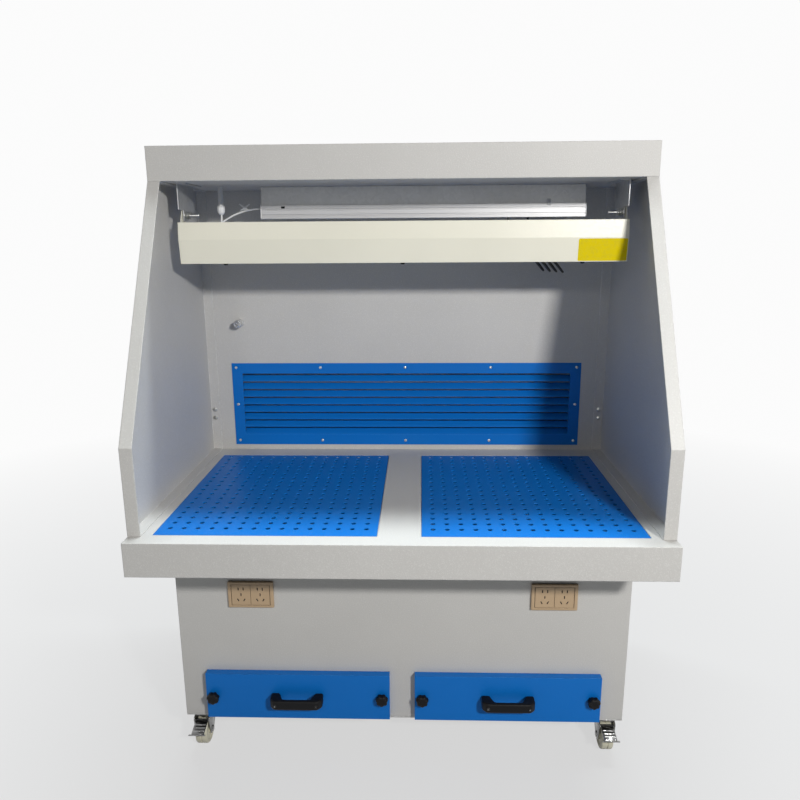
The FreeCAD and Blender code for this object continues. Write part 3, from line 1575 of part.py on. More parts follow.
def build_fork(name, place, braked):
    """A folded swivel fork with its riveted axle."""
    fork = body(name, place)
    cap_top = "caster_height - caster_plate_sheet - caster_race_height - swivel_play"
    yoke_top = "(%s - fork_cap_height)" % cap_top
    axle_z = "wheel_diameter / 2"
    legs = sketch(fork, "YZ_Plane")
    polygon(
        legs,
        [
            ("fork_heel", yoke_top),
            ("-caster_trail", yoke_top),
            ("-caster_trail - pedal_pin_ahead - pedal_pin", yoke_top + " - pedal_pin"),
            ("-caster_trail - pedal_pin_ahead - pedal_pin / 2", axle_z + " + axle_diameter * 2"),
            ("-caster_trail - axle_diameter", axle_z + " - axle_diameter"),
            ("-caster_trail + axle_diameter", axle_z + " - axle_diameter"),
            ("fork_heel", yoke_top + " - 3 * fork_sheet"),
        ],
    )
    pad(legs, "fork_gap + 2 * fork_sheet", side="Symmetric")
    inside = sketch(fork, "XZ_Plane")
    rectangle(inside, ("-fork_gap / 2", "0"), ("fork_gap / 2", yoke_top + " - fork_sheet"))
    pocket(inside, "6 * caster_trail + 2 * fork_heel", side="Symmetric")
    if braked:
        pin = sketch(fork, "YZ_Plane")
        pin_place = ("-caster_trail - pedal_pin_ahead", axle_z + " + pedal_pin_rise")
        circle(pin, pin_place[0], pin_place[1], "pedal_pin + 2 * running_play")
        pocket(pin, "fork_gap + 4 * fork_sheet", side="Symmetric")
    cap = sketch(fork, "XY_Plane", yoke_top)
    circle(cap, "0", "0", "caster_race")
    pad(cap, "fork_cap_height")
    axle = sketch(fork, "YZ_Plane")
    circle(axle, "-caster_trail", axle_z, "axle_diameter")
    pad(axle, "fork_gap + 2 * fork_sheet + 2 * axle_head", side="Symmetric")
    node(fork)


def build_wheel(name, place):
    """A moulded wheel with a grooved tread and a bored hub."""
    wheel = body(name, place)
    half = "wheel_width / 2"
    radius = "wheel_diameter / 2"
    rim = "(wheel_diameter / 2 - wheel_rim)"
    bore = "axle_diameter / 2 + running_play"
    right = [
        ("wheel_groove / 2", radius),
        (half + " - wheel_shoulder", radius),
        (half, radius + " - wheel_shoulder"),
        (half, rim),
        (half + " - wheel_dish", rim + " - wheel_dish"),
        (half + " - wheel_dish", "wheel_hub_diameter / 2"),
        ("wheel_hub / 2", "wheel_hub_diameter / 2"),
        ("wheel_hub / 2", bore),
    ]
    left = [("-(%s)" % x, z) for x, z in reversed(right)]
    groove = [
        ("-wheel_groove / 2", radius + " - wheel_groove_depth"),
        ("wheel_groove / 2", radius + " - wheel_groove_depth"),
    ]
    profile = sketch(wheel, "XZ_Plane")
    polygon(profile, right + left + groove)
    revolve(profile)
    node(wheel)


def build_pedal(name, place):
    """A pressed brake pedal with a wide upturned toe, on its pin between the fork's legs."""
    pedal = body(name, place)
    plate = sketch(pedal, "YZ_Plane")
    tail = "pedal_pin / 2"
    polygon(
        plate,
        [
            (tail, "pedal_sheet"),
            ("-pedal_length", "-pedal_fall + pedal_sheet"),
            ("-pedal_length", "-pedal_fall"),
            (tail, "0"),
        ],
    )
    pad(plate, "pedal_width", side="Symmetric")
    toe = sketch(pedal, "YZ_Plane")
    polygon(
        toe,
        [
            ("-pedal_length", "-pedal_fall + pedal_sheet"),
            ("-pedal_length - pedal_toe", "-pedal_fall + pedal_toe"),
            ("-pedal_length - pedal_toe", "-pedal_fall + pedal_toe - pedal_sheet"),
            ("-pedal_length", "-pedal_fall"),
        ],
    )
    pad(toe, "pedal_toe_width", side="Symmetric")
    pin = sketch(pedal, "YZ_Plane")
    circle(pin, "0", "0", "pedal_pin")
    pad(pin, "fork_gap + 2 * fork_sheet", side="Symmetric")
    node(pedal)


def bolt(name, turn, face, shank, head_radius, head_height, length, head_back):
    """A hexagon bolt whose head sits on a face and whose shank runs on along the turned axis."""
    head = hexagon(name + "_head", turn, head_back, head_radius, head_height)
    stem = rod(name + "_shank", turn, face, shank, length)
    return fuse(name, [head, stem])


# Hexagon bolts: the shields' rear flanges, the shade's pivots and the casters' plates.
def build_bolts():
    bolts = []
    for side, sign in SIDES:
        for index, (x, z) in enumerate(shield_bolt_places(sign)):
            face = Y_BACK + " - skin"
            bolts.append(
                bolt(
                    "%s_shield_bolt_%d" % (side, index),
                    ALONG_Y,
                    (x, face, z),
                    "bolt_small",
                    "bolt_small_head",
                    "bolt_small_height",
                    "bolt_small_length",
                    (x, face + " - bolt_small_height", z),
                )
            )
        inner = "(shade_width / 2 - shade_sheet - bracket_gap - bracket_sheet)"
        shank_low, shank_length = span(sign, inner + " - pivot_inboard", "shade_width / 2 + pivot_outboard")
        nut_low, nut_length = span(sign, inner + " - pivot_nut_height", inner)
        shank_start = (shank_low, Y_PIVOT, Z_PIVOT)
        shank = rod(side + "_pivot_shank", ALONG_X, shank_start, "pivot_diameter", shank_length)
        nut_start = (nut_low, Y_PIVOT, Z_PIVOT)
        nut = hexagon(side + "_pivot_nut", ALONG_X, nut_start, "pivot_nut", nut_length)
        bolts.append(fuse(side + "_pivot_bolt", [shank, nut]))
    under = "caster_height - caster_plate_sheet"
    for name, x, y in caster_bolt_places():
        bolts.append(
            bolt(
                "caster_bolt_" + name,
                ALONG_Z,
                (x, y, under),
                "pivot_diameter",
                "bolt_large_head",
                "bolt_large_height",
                "bolt_large_length",
                (x, y, under + " - bolt_large_height"),
            )
        )
    node(group("hexagon_bolts", bolts))


build_worktop()
build_tray_pan()
build_perforated_plates()
build_base()
build_supply_gland()
build_shields()
build_back_panel()
build_rear_duct()
build_louvre()
build_coupler()
build_hood()
build_shade()
build_shade_brackets()
build_lamp()
build_lamp_lead()
build_cable_hank()
build_sockets()
build_drawers()
build_filters()
build_pulse_cleaning()
build_fan()
build_casters()
build_bolts()
doc.recompute()

for item in doc.Objects:
    if "Invalid" in item.State or "Error" in item.State:
        raise RuntimeError("failed: %s %s" % (item.Label, item.State))
for item in nodes:
    if item.Shape.isNull() or not item.Shape.isValid() or not item.Shape.Solids:
        raise RuntimeError("bad shape: " + item.Label)

os.makedirs("parts", exist_ok=True)
for item in nodes:
    item.Shape.exportStep(os.path.join("parts", item.Label + ".step"))
print("%d sub-parts" % len(nodes))
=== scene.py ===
import json
import math

import bmesh
import bpy
from mathutils import Matrix, Vector


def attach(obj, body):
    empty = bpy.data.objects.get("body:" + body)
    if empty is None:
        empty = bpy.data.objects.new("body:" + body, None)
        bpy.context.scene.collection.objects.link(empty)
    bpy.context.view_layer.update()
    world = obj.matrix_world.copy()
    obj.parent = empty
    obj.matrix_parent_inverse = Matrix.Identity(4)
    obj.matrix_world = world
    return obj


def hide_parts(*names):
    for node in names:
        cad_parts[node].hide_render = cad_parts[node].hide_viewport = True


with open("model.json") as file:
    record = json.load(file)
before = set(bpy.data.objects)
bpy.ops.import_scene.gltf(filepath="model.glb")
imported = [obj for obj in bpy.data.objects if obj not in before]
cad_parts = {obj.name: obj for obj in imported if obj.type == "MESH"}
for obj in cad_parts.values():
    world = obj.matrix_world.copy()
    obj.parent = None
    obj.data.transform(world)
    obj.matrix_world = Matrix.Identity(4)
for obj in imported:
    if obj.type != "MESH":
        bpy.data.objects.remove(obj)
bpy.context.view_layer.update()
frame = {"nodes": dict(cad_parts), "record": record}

# Sheet steel of the cabinet, worktop, shields, back panel, rear duct and hood: folded sheet with a
# fine-grained light grey powder coat, slightly cloudy over large faces, with painted highlights along the
# folds and bright flecks painted as glints.
# The pan and the filter wall under the perforated plates are painted near black, as painted shade.
FLOAT = "NodeSocketFloat"


def fill(tree, node, inputs):
    """Links the inputs that are given as sockets, and sets the others."""
    for name, value in inputs.items():
        if isinstance(value, bpy.types.NodeSocket):
            tree.links.new(value, node.inputs[name])
        else:
            node.inputs[name].default_value = value


def add(tree, kind, inputs=None, **settings):
    """Adds a node with its settings and inputs."""
    made = tree.nodes.new(kind)
    for name, value in settings.items():
        setattr(made, name, value)
    fill(tree, made, inputs or {})
    return made


def new_group(name, takes, gives):
    """A shader node group with named sockets, and its two end nodes."""
    tree = bpy.data.node_groups.new(name, "ShaderNodeTree")
    for socket, value in takes:
        tree.interface.new_socket(socket, in_out="INPUT", socket_type=FLOAT).default_value = value
    for socket, kind in gives:
        tree.interface.new_socket(socket, in_out="OUTPUT", socket_type=kind)
    return tree, tree.nodes.new("NodeGroupInput").outputs, tree.nodes.new("NodeGroupOutput").inputs


def own_space(tree):
    """Places on the piece itself, so that a pattern moves with it."""
    return add(tree, "ShaderNodeTexCoord").outputs["Object"]


def noise(tree, where, scale, detail=2.0, roughness=0.5):
    inputs = {"Vector": where, "Scale": scale, "Detail": detail, "Roughness": roughness}
    return add(tree, "ShaderNodeTexNoise", inputs).outputs[0]


def remap(tree, value, low, high, to_low, to_high):
    inputs = {"Value": value, "From Min": low, "From Max": high, "To Min": to_low, "To Max": to_high}
    return add(tree, "ShaderNodeMapRange", inputs).outputs["Result"]


def mix(tree, share, first, second):
    """One colour laid over another by a share from 0 to 1."""
    return add(tree, "ShaderNodeMix", {0: share, 6: first, 7: second}, data_type="RGBA").outputs[2]


def multiply(tree, first, second):
    return add(tree, "ShaderNodeMath", {0: first, 1: second}, operation="MULTIPLY").outputs[0]


# the grain of a sprayed or moulded surface: its height, its bright flecks, which paint glints, and its
# broad clouds
grain_tree, taken, given = new_group(
    "surface_grain",
    [("Grain", 600.0), ("Cloud", 3.0)],
    [("Height", FLOAT), ("Fleck", FLOAT), ("Cloud", FLOAT)],
)
where = own_space(grain_tree)
peel = noise(grain_tree, where, taken["Grain"], 3.0, 0.6)
grain_tree.links.new(peel, given["Height"])
grain_tree.links.new(remap(grain_tree, peel, 0.52, 0.72, 0.0, 1.0), given["Fleck"])
grain_tree.links.new(noise(grain_tree, where, taken["Cloud"], 4.0, 0.55), given["Cloud"])

# the eased edges of a folded or moulded piece: a rounded normal, and a broken mask along the edge for
# painted highlights
edge_tree, taken, given = new_group(
    "eased_edge_highlight", [("Radius", 0.0015), ("Break", 90.0)], [("Mask", FLOAT), ("Normal", "NodeSocketVector")]
)
eased = add(edge_tree, "ShaderNodeBevel", {"Radius": taken["Radius"]}, samples=6).outputs["Normal"]
facing = add(edge_tree, "ShaderNodeNewGeometry").outputs["Normal"]
alike = add(edge_tree, "ShaderNodeVectorMath", {0: eased, 1: facing}, operation="DOT_PRODUCT")
along_edge = remap(edge_tree, alike.outputs["Value"], 0.99, 0.80, 0.0, 1.0)
where = own_space(edge_tree)
broken = remap(edge_tree, noise(edge_tree, where, taken["Break"], 3.0), 0.35, 0.6, 0.25, 1.0)
edge_tree.links.new(multiply(edge_tree, along_edge, broken), given["Mask"])
edge_tree.links.new(eased, given["Normal"])


def new_material(name):
    material = bpy.data.materials.new(name)
    material.use_nodes = True
    return material, material.node_tree, material.node_tree.nodes["Principled BSDF"]


def emboss(tree, shader, strength, distance, height, normal=None):
    """Shows a height as fine relief, over the eased normal of the edges where one is given."""
    inputs = {"Strength": strength, "Distance": distance, "Height": height}
    if normal is not None:
        inputs["Normal"] = normal
    fill(tree, shader, {"Normal": add(tree, "ShaderNodeBump", inputs).outputs["Normal"]})


def sprayed(name, colour, pale, roughness, grain, depth, fleck=0.0, edge=0.0015, sheen=0.5, clouded=0.06):
    """A sprayed or moulded finish with grain and clouds, bright flecks painted as glints and painted
    highlights along its edges.
    """
    material, tree, shader = new_material(name)
    surface = add(tree, "ShaderNodeGroup", {"Grain": grain}, node_tree=grain_tree)
    edges = add(tree, "ShaderNodeGroup", {"Radius": edge}, node_tree=edge_tree)
    darker = tuple(channel * (1 - clouded) for channel in colour[:3]) + (1.0,)
    cloud = remap(tree, surface.outputs["Cloud"], 0.3, 0.7, 0.0, 1.0)
    body_colour = mix(tree, cloud, darker, colour)
    # painted glints: bright flecks of the grain in the pale colour
    if fleck:
        body_colour = mix(tree, multiply(tree, surface.outputs["Fleck"], fleck), body_colour, pale)
    # painted highlights: the edges are paled towards the given colour, along folds and rims
    edge_highlight_share = multiply(tree, edges.outputs["Mask"], 0.75)
    fill(tree, shader, {
        "Base Color": mix(tree, edge_highlight_share, body_colour, pale),
        "Roughness": remap(tree, surface.outputs["Height"], 0.3, 0.7, roughness - 0.05, roughness + 0.07),
        "Specular IOR Level": sheen,
    })
    emboss(tree, shader, 0.5, depth, surface.outputs["Height"], edges.outputs["Normal"])
    return material


def finish_nodes(slot, material):
    """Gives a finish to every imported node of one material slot."""
    for row in frame["record"]["subparts"]:
        if row["material_slot"] == slot:
            for held in frame["nodes"][row["node"]].material_slots:
                held.material = material


# the grey-white pale colour paints highlights along the folds and glints in the grain, over a wide edge
GREY = (0.59, 0.58, 0.56, 1.0)
GREY_HIGHLIGHT = (0.92, 0.92, 0.90, 1.0)
grey_coat = sprayed(
    "grey_powder_coat", GREY, GREY_HIGHLIGHT, roughness=0.48, grain=420.0, depth=0.0010,
    fleck=0.30, edge=0.0034,
)
finish_nodes("grey_paint", grey_coat)
# painted shade: a near-black coat on the pan and the filter wall, for the dark under the perforated plates
SHADE_BLACK = (0.022, 0.024, 0.028, 1.0)
SHADE_BLACK_PALE = (0.05, 0.05, 0.05, 1.0)
painted_shade_coat = sprayed(
    "painted_shade_coat", SHADE_BLACK, SHADE_BLACK_PALE, roughness=0.75, grain=300.0, depth=0.0010,
    fleck=0.3, sheen=0.2, clouded=0.3,
)
for dust_and_shade in ("tray_pan", "filter_wall"):
    for held in frame["nodes"][dust_and_shade].material_slots:
        held.material = painted_shade_coat

# Perforated plates, louvred grille and drawer fronts: punched and folded sheet with a glossy, fairly
# thick blue powder coat that flows out smoother than the grey.
BLUE = (0.004, 0.170, 0.60, 1.0)
BLUE_PALE = (0.05, 0.32, 0.84, 1.0)
blue_coat = sprayed(
    "blue_powder_coat", BLUE, BLUE_PALE, roughness=0.36, grain=260.0, depth=0.0004,
    edge=0.0012, sheen=0.2,
)
finish_nodes("blue_paint", blue_coat)

# Lamp shade: thin folded sheet with two facets, in a smooth cream stove enamel. It hangs on two galvanised
# brackets and tilts on their pivot bolts.
# the near-white pale colour paints highlights along the shade's folds and edges
CREAM = (0.88, 0.86, 0.73, 1.0)
CREAM_HIGHLIGHT = (0.96, 0.95, 0.90, 1.0)
cream_enamel = sprayed(
    "cream_enamel", CREAM, CREAM_HIGHLIGHT, roughness=0.38, grain=220.0, depth=0.0003, edge=0.0024
)
finish_nodes("cream_paint", cream_enamel)

# Zinc-coated sheet of the drawer trays and their rails, the shade's brackets and the lamp's channel, left
# unpainted: crystals of zinc show as flat grey flakes that each catch the light differently.
SPANGLE = 120.0
ZINC_DARK = (0.46, 0.47, 0.48, 1.0)
ZINC_LIGHT = (0.54, 0.55, 0.56, 1.0)
ZINC_STREAK = (0.36, 0.36, 0.35, 1.0)
galvanised, tree, shader = new_material("galvanised_sheet")
where = own_space(tree)
flakes = add(tree, "ShaderNodeTexVoronoi", {"Vector": where, "Scale": SPANGLE, "Randomness": 1.0})
flake_tone = add(tree, "ShaderNodeSeparateColor", {"Color": flakes.outputs["Color"]}).outputs["Red"]
zinc_colour = mix(tree, flake_tone, ZINC_DARK, ZINC_LIGHT)
streak = remap(tree, noise(tree, where, 9.0, 5.0), 0.4, 0.7, 0.0, 0.25)
fill(tree, shader, {
    "Base Color": mix(tree, streak, zinc_colour, ZINC_STREAK),
    "Roughness": remap(tree, flake_tone, 0.0, 1.0, 0.42, 0.52),
    "Metallic": 0.6,
})
edges = add(tree, "ShaderNodeGroup", {}, node_tree=edge_tree)
emboss(tree, shader, 0.25, 0.0005, flake_tone, edges.outputs["Normal"])
finish_nodes("galvanised_sheet", galvanised)

# Casters: four swivel casters with pressed, chromed top plates and forks, riveted axles and cream
# nylon wheels. The two at the front have a brake pedal. Each top plate is held by four bolts.
CASTERS = {
    "front_left": (-0.550, -0.156),
    "front_right": (0.550, -0.156),
    "rear_left": (-0.550, 0.332),
    "rear_right": (0.550, 0.332),
}
PLATE = (0.064, 0.092)
PLATE_SHEET = 0.0025
PLATE_LEVEL = 0.1025
FORK_GAP = 0.038
FORK_SHEET = 0.0025
FORK_HALF = FORK_GAP / 2 + FORK_SHEET
CROWN_TOP = 0.0912
WHEEL_CENTRE = Vector((0.0, -0.030, 0.0375))
PEDAL_PIN = Vector((0.0, -0.047, 0.076))
FORK_LEG = [
    (0.020, 0.0912), (-0.030, 0.0912), (-0.053, 0.0852), (-0.050, 0.0575), (-0.040, 0.0275),
    (-0.020, 0.0275), (0.020, 0.0837),
]
CROWN = [(-FORK_HALF, -0.046), (FORK_HALF, -0.046), (FORK_HALF, 0.020), (-FORK_HALF, 0.020)]
RACE = [
    (0.1025, 0.0), (0.1025, 0.022), (0.1005, 0.022), (0.0985, 0.0212), (0.0972, 0.0195), (0.0965, 0.0170),
    (0.0965, 0.0),
]
SWIVEL_CAP = [
    (0.0962, 0.0), (0.0962, 0.0165), (0.0952, 0.0200), (0.0936, 0.0216), (0.0920, 0.0220), (0.0912, 0.0220),
    (0.0912, 0.0),
]
SWIVEL_RIVET = [
    (0.0892, 0.0), (0.0892, 0.0085), (0.0868, 0.0080), (0.0850, 0.0060), (0.0843, 0.0030), (0.0842, 0.0),
]
AXLE = [
    (-0.0245, 0.0), (-0.0245, 0.0032), (-0.0236, 0.0046), (-0.0225, 0.0050), (0.0225, 0.0050),
    (0.0236, 0.0046), (0.0245, 0.0032), (0.0245, 0.0),
]
PEDAL_WIDTH = 0.034
TOE_WIDTH = 0.044
PEDAL_SIDE = [(0.003, 0.003), (-0.046, -0.010), (-0.046, -0.013), (0.003, 0.0)]
PEDAL_TOE = [(-0.0445, -0.0098), (-0.0540, -0.0050), (-0.0540, -0.0080), (-0.0445, -0.0128)]
PEDAL_PIN_PROFILE = [
    (-0.0227, 0.0), (-0.0227, 0.0028), (-0.0216, 0.0042), (-0.0215, 0.0030), (0.0215, 0.0030),
    (0.0216, 0.0042), (0.0227, 0.0028), (0.0227, 0.0),
]
PEDAL_BAR = [
    (-0.0145, 0.0), (-0.0145, 0.0012), (-0.0138, 0.0018), (0.0138, 0.0018), (0.0145, 0.0012), (0.0145, 0.0),
]
PEDAL_BARS = 4
BAR_FIRST = -0.016
BAR_PITCH = 0.009
PEDAL_SLOPE = 0.265
WHEEL_HALF_PROFILE = [
    (0.0015, 0.0355), (0.0017, 0.0370), (0.0024, 0.0375), (0.0112, 0.0375), (0.0134, 0.0369),
    (0.0151, 0.0355), (0.0159, 0.0335), (0.0160, 0.0300), (0.0155, 0.0285), (0.0130, 0.0262),
    (0.0130, 0.0130), (0.0136, 0.0122), (0.0175, 0.0118), (0.0180, 0.0112), (0.0180, 0.00505),
]
LOOK_ALONG_X = Matrix.Rotation(math.pi / 2, 4, "Y")
SIDE_VIEW = Matrix(((0, 0, 1, 0), (1, 0, 0, 0), (0, 1, 0, 0), (0, 0, 0, 1)))
SHARP_FOLD = math.radians(25.0)
# the casters' chrome is painted dark, as painted reflections of dark surroundings, with painted highlights
# on its edges
CHROME_PAINTED_DARK = (0.24, 0.24, 0.24, 1.0)
CHROME_BLOOM = (0.12, 0.12, 0.12, 1.0)
EDGE_HIGHLIGHT = (0.90, 0.90, 0.88, 1.0)
NYLON = (0.80, 0.77, 0.61, 1.0)
NYLON_PALE = (0.88, 0.86, 0.74, 1.0)


def plated(name, colour, dull, roughness, scratch, edge=0.0006):
    """Thin plating with faint scratches, a duller bloom in patches and painted highlights along its edges.
    """
    material, tree, shader = new_material(name)
    where = own_space(tree)
    bloom = remap(tree, noise(tree, where, 60.0, 4.0), 0.4, 0.65, 0.0, 1.0)
    edges = add(tree, "ShaderNodeGroup", {"Radius": edge}, node_tree=edge_tree)
    # painted highlights: the edges are mixed towards near white
    plated_edge_highlight = multiply(tree, edges.outputs["Mask"], 0.7)
    stretched = add(tree, "ShaderNodeMapping", {"Vector": where, "Scale": (1.0, 0.15, 1.0)}).outputs[0]
    lines = noise(tree, stretched, scratch, 2.0)
    fill(tree, shader, {
        "Base Color": mix(tree, plated_edge_highlight, mix(tree, bloom, colour, dull), EDGE_HIGHLIGHT),
        "Roughness": remap(tree, lines, 0.3, 0.7, roughness * 0.7, roughness * 1.6),
        "Metallic": 1.0,
    })
    emboss(tree, shader, 0.12, 0.0003, lines, edges.outputs["Normal"])
    return material


caster_steel = plated(
    "chrome_painted_dark", CHROME_PAINTED_DARK, CHROME_BLOOM, roughness=0.16, scratch=700.0, edge=0.0012
)
wheel_plastic = sprayed(
    "wheel_plastic", NYLON, NYLON_PALE, roughness=0.45, grain=500.0, depth=0.0003,
    edge=0.001, clouded=0.16,
)


def at(x, y, z):
    return Matrix.Translation((x, y, z))


def grown(bm, before):
    """The vertices that have been added since the set before was taken."""
    return [vertex for vertex in bm.verts if vertex not in before]


def settle(bm, before, matrix):
    """Puts in its place what has been added since the set before was taken."""
    bmesh.ops.transform(bm, matrix=matrix, verts=grown(bm, before))


def turned(bm, profile, matrix, segments=32, ring=False):
    """Spins a profile of (along, radius) pairs round Z, then puts it in its place."""
    before = set(bm.verts)
    corners = [bm.verts.new((radius, 0.0, along)) for along, radius in profile]
    sides = [bm.edges.new(pair) for pair in zip(corners, corners[1:])]
    if ring:
        sides.append(bm.edges.new((corners[-1], corners[0])))
    bmesh.ops.spin(
        bm, geom=corners + sides, cent=(0, 0, 0), axis=(0, 0, 1), angle=2 * math.pi, steps=segments,
        use_merge=True,
    )
    bmesh.ops.remove_doubles(bm, verts=grown(bm, before), dist=1e-6)
    settle(bm, before, matrix)


def round_off(bm, geom, offset, segments, affect="EDGES"):
    bmesh.ops.bevel(
        bm, geom=geom, offset=offset, offset_type="OFFSET", segments=segments, profile=0.5, affect=affect,
        clamp_overlap=True, material=-1,
    )


def ease_edges(bm, before, offset, segments=2):
    """Bevels the sharp edges of what has been added since the set before was taken."""
    fresh = set(grown(bm, before))
    sharp = [
        edge for edge in bm.edges
        if edge.verts[0] in fresh and len(edge.link_faces) == 2 and edge.calc_face_angle() > SHARP_FOLD
    ]
    round_off(bm, sharp, offset, segments)


def slab(bm, outline, thickness, matrix, corner=0.0, ease=0.0, segments=2):
    """A plate of that outline, with rounded corners and eased edges, put in its place."""
    before = set(bm.verts)
    corners = [bm.verts.new((x, y, 0.0)) for x, y in outline]
    face = bm.faces.new(corners)
    if corner:
        round_off(bm, corners, corner, 4, "VERTICES")
        face = grown(bm, before)[0].link_faces[0]
    raised = bmesh.ops.extrude_face_region(bm, geom=[face])["geom"]
    lifted = [item for item in raised if isinstance(item, bmesh.types.BMVert)]
    bmesh.ops.translate(bm, vec=(0.0, 0.0, thickness), verts=lifted)
    bmesh.ops.recalc_face_normals(bm, faces=list({f for v in grown(bm, before) for f in v.link_faces}))
    if ease:
        ease_edges(bm, before, ease, segments)
    settle(bm, before, matrix)


def rectangle(width, height):
    x, y = width / 2, height / 2
    return [(-x, -y), (x, -y), (x, y), (-x, y)]


def show(bm, name, body, materials, replaced=(), sharp=32.0):
    """Makes a finished piece: seams closed, faces outward, smooth but for its sharp edges."""
    bmesh.ops.remove_doubles(bm, verts=bm.verts, dist=1e-6)
    bmesh.ops.recalc_face_normals(bm, faces=bm.faces)
    limit = math.radians(sharp)
    for face in bm.faces:
        face.smooth = True
    for edge in bm.edges:
        edge.smooth = len(edge.link_faces) == 2 and edge.calc_face_angle() < limit
    mesh = bpy.data.meshes.new(name)
    bm.to_mesh(mesh)
    bm.free()
    for material in materials:
        mesh.materials.append(material)
    piece = bpy.data.objects.new(name, mesh)
    bpy.context.collection.objects.link(piece)
    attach(piece, body)
    if replaced:
        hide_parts(*replaced)


def hexagon(bm, radius, height, matrix, ease=0.0006):
    """A six-sided head or nut that stands up from its seat."""
    before = set(bm.verts)
    bmesh.ops.create_cone(
        bm, cap_ends=True, segments=6, radius1=radius, radius2=radius, depth=height,
        matrix=at(0, 0, height / 2),
    )
    ease_edges(bm, before, ease, 2)
    settle(bm, before, matrix)


mounts = bmesh.new()
for x, y in CASTERS.values():
    slab(mounts, rectangle(*PLATE), PLATE_SHEET, at(x, y, PLATE_LEVEL), corner=0.009, ease=0.0006)
    turned(mounts, RACE, at(x, y, 0), 40)
show(mounts, "caster_mounts", "cabinet", [caster_steel], ["caster_plates"])

for caster, (x, y) in CASTERS.items():
    place = at(x, y, 0)
    axle = place @ at(*WHEEL_CENTRE) @ LOOK_ALONG_X
    fork = bmesh.new()
    for leg_x in (-FORK_HALF, FORK_GAP / 2):
        slab(fork, FORK_LEG, FORK_SHEET, place @ at(leg_x, 0, 0) @ SIDE_VIEW, corner=0.007, ease=0.0006)
    slab(fork, CROWN, FORK_SHEET, place @ at(0, 0, CROWN_TOP - FORK_SHEET), corner=0.003, ease=0.0009)
    turned(fork, SWIVEL_CAP, place, 40)
    turned(fork, SWIVEL_RIVET, place, 24)
    turned(fork, AXLE, axle, 24)
    for sign in (-1, 1):
        outward = axle @ Matrix.Diagonal((1, 1, sign, 1)) @ at(0, 0, FORK_HALF)
        hexagon(fork, 0.0082, 0.0026, outward, 0.0005)
    show(fork, caster + "_fork_pressing", caster + "_swivel", [caster_steel],
         [caster + "_fork"])

    wheel = bmesh.new()
    far_half = [(-along, radius) for along, radius in reversed(WHEEL_HALF_PROFILE)]
    turned(wheel, WHEEL_HALF_PROFILE + far_half, axle, 56, ring=True)
    show(wheel, caster + "_wheel_moulding", caster + "_roller", [wheel_plastic],
         [caster + "_wheel"])

    if caster.startswith("front"):
        pedal = bmesh.new()
        hinge = place @ at(*PEDAL_PIN)
        slab(pedal, PEDAL_SIDE, PEDAL_WIDTH, hinge @ at(-PEDAL_WIDTH / 2, 0, 0) @ SIDE_VIEW, ease=0.0005)
        slab(pedal, PEDAL_TOE, TOE_WIDTH, hinge @ at(-TOE_WIDTH / 2, 0, 0) @ SIDE_VIEW, ease=0.0009)
        for bar in range(PEDAL_BARS):
            bar_y = BAR_FIRST - BAR_PITCH * bar
            bar_z = 0.0030 + (bar_y - 0.003) * PEDAL_SLOPE
            turned(pedal, PEDAL_BAR, hinge @ at(0, bar_y, bar_z) @ LOOK_ALONG_X, 12)
        turned(pedal, PEDAL_PIN_PROFILE, hinge @ LOOK_ALONG_X, 20)
        show(pedal, caster + "_pedal_pressing", caster + "_brake", [caster_steel],
             [caster + "_brake_pedal"])

# Hexagon bolts: zinc-plated, with plain washers. They hold the shields' rear flanges to the back
# panel, hang the shade in its brackets and hold the casters' top plates to the cabinet floor.
FRONTWARD = Matrix.Rotation(math.pi / 2, 4, "X")
REARWARD = Matrix.Rotation(-math.pi / 2, 4, "X")
DOWNWARD = Matrix.Rotation(math.pi, 4, "X")
BACK_FACE = 0.289
SHIELD_BOLT_X = 0.606
SHIELD_BOLT_LEVELS = (0.804, 0.831, 1.351, 1.378)
CASTER_BOLT = (0.022, 0.034)
PIVOT_X, PIVOT_Y, PIVOT_LEVEL = 0.567, 0.025, 1.420
PIVOT_STEM = [(-0.036, 0.0), (-0.036, 0.0034), (-0.035, 0.004), (0.0072, 0.004), (0.0072, 0.0)]
PIVOT_DOME = [
    (0.0060, 0.0), (0.0060, 0.0090), (0.0075, 0.0088), (0.0100, 0.0070), (0.0118, 0.0040), (0.0124, 0.0),
]
ZINC = (0.68, 0.68, 0.66, 1.0)
ZINC_BLOOM = (0.50, 0.50, 0.47, 1.0)
zinc_plate = plated("zinc_plated_steel", ZINC, ZINC_BLOOM, roughness=0.26, scratch=900.0)


def washer(bm, inner, outer, thickness, matrix):
    edge = outer - thickness * 0.4
    section = [(0.0, inner), (0.0, outer), (thickness * 0.7, outer), (thickness, edge), (thickness, inner)]
    turned(bm, section, matrix, 28, ring=True)


def bolt(bm, head, height, shank, reach, matrix):
    """A bolt whose head stands up from its washer and whose shank runs down from the seat."""
    washer(bm, shank, head * 1.25, 0.001, matrix)
    hexagon(bm, head, height, matrix @ at(0, 0, 0.001), 0.0005)
    stem = [(0.0, 0.0), (0.0, shank), (-reach + 0.001, shank), (-reach, shank * 0.8), (-reach, 0.0)]
    turned(bm, stem, matrix, 20)


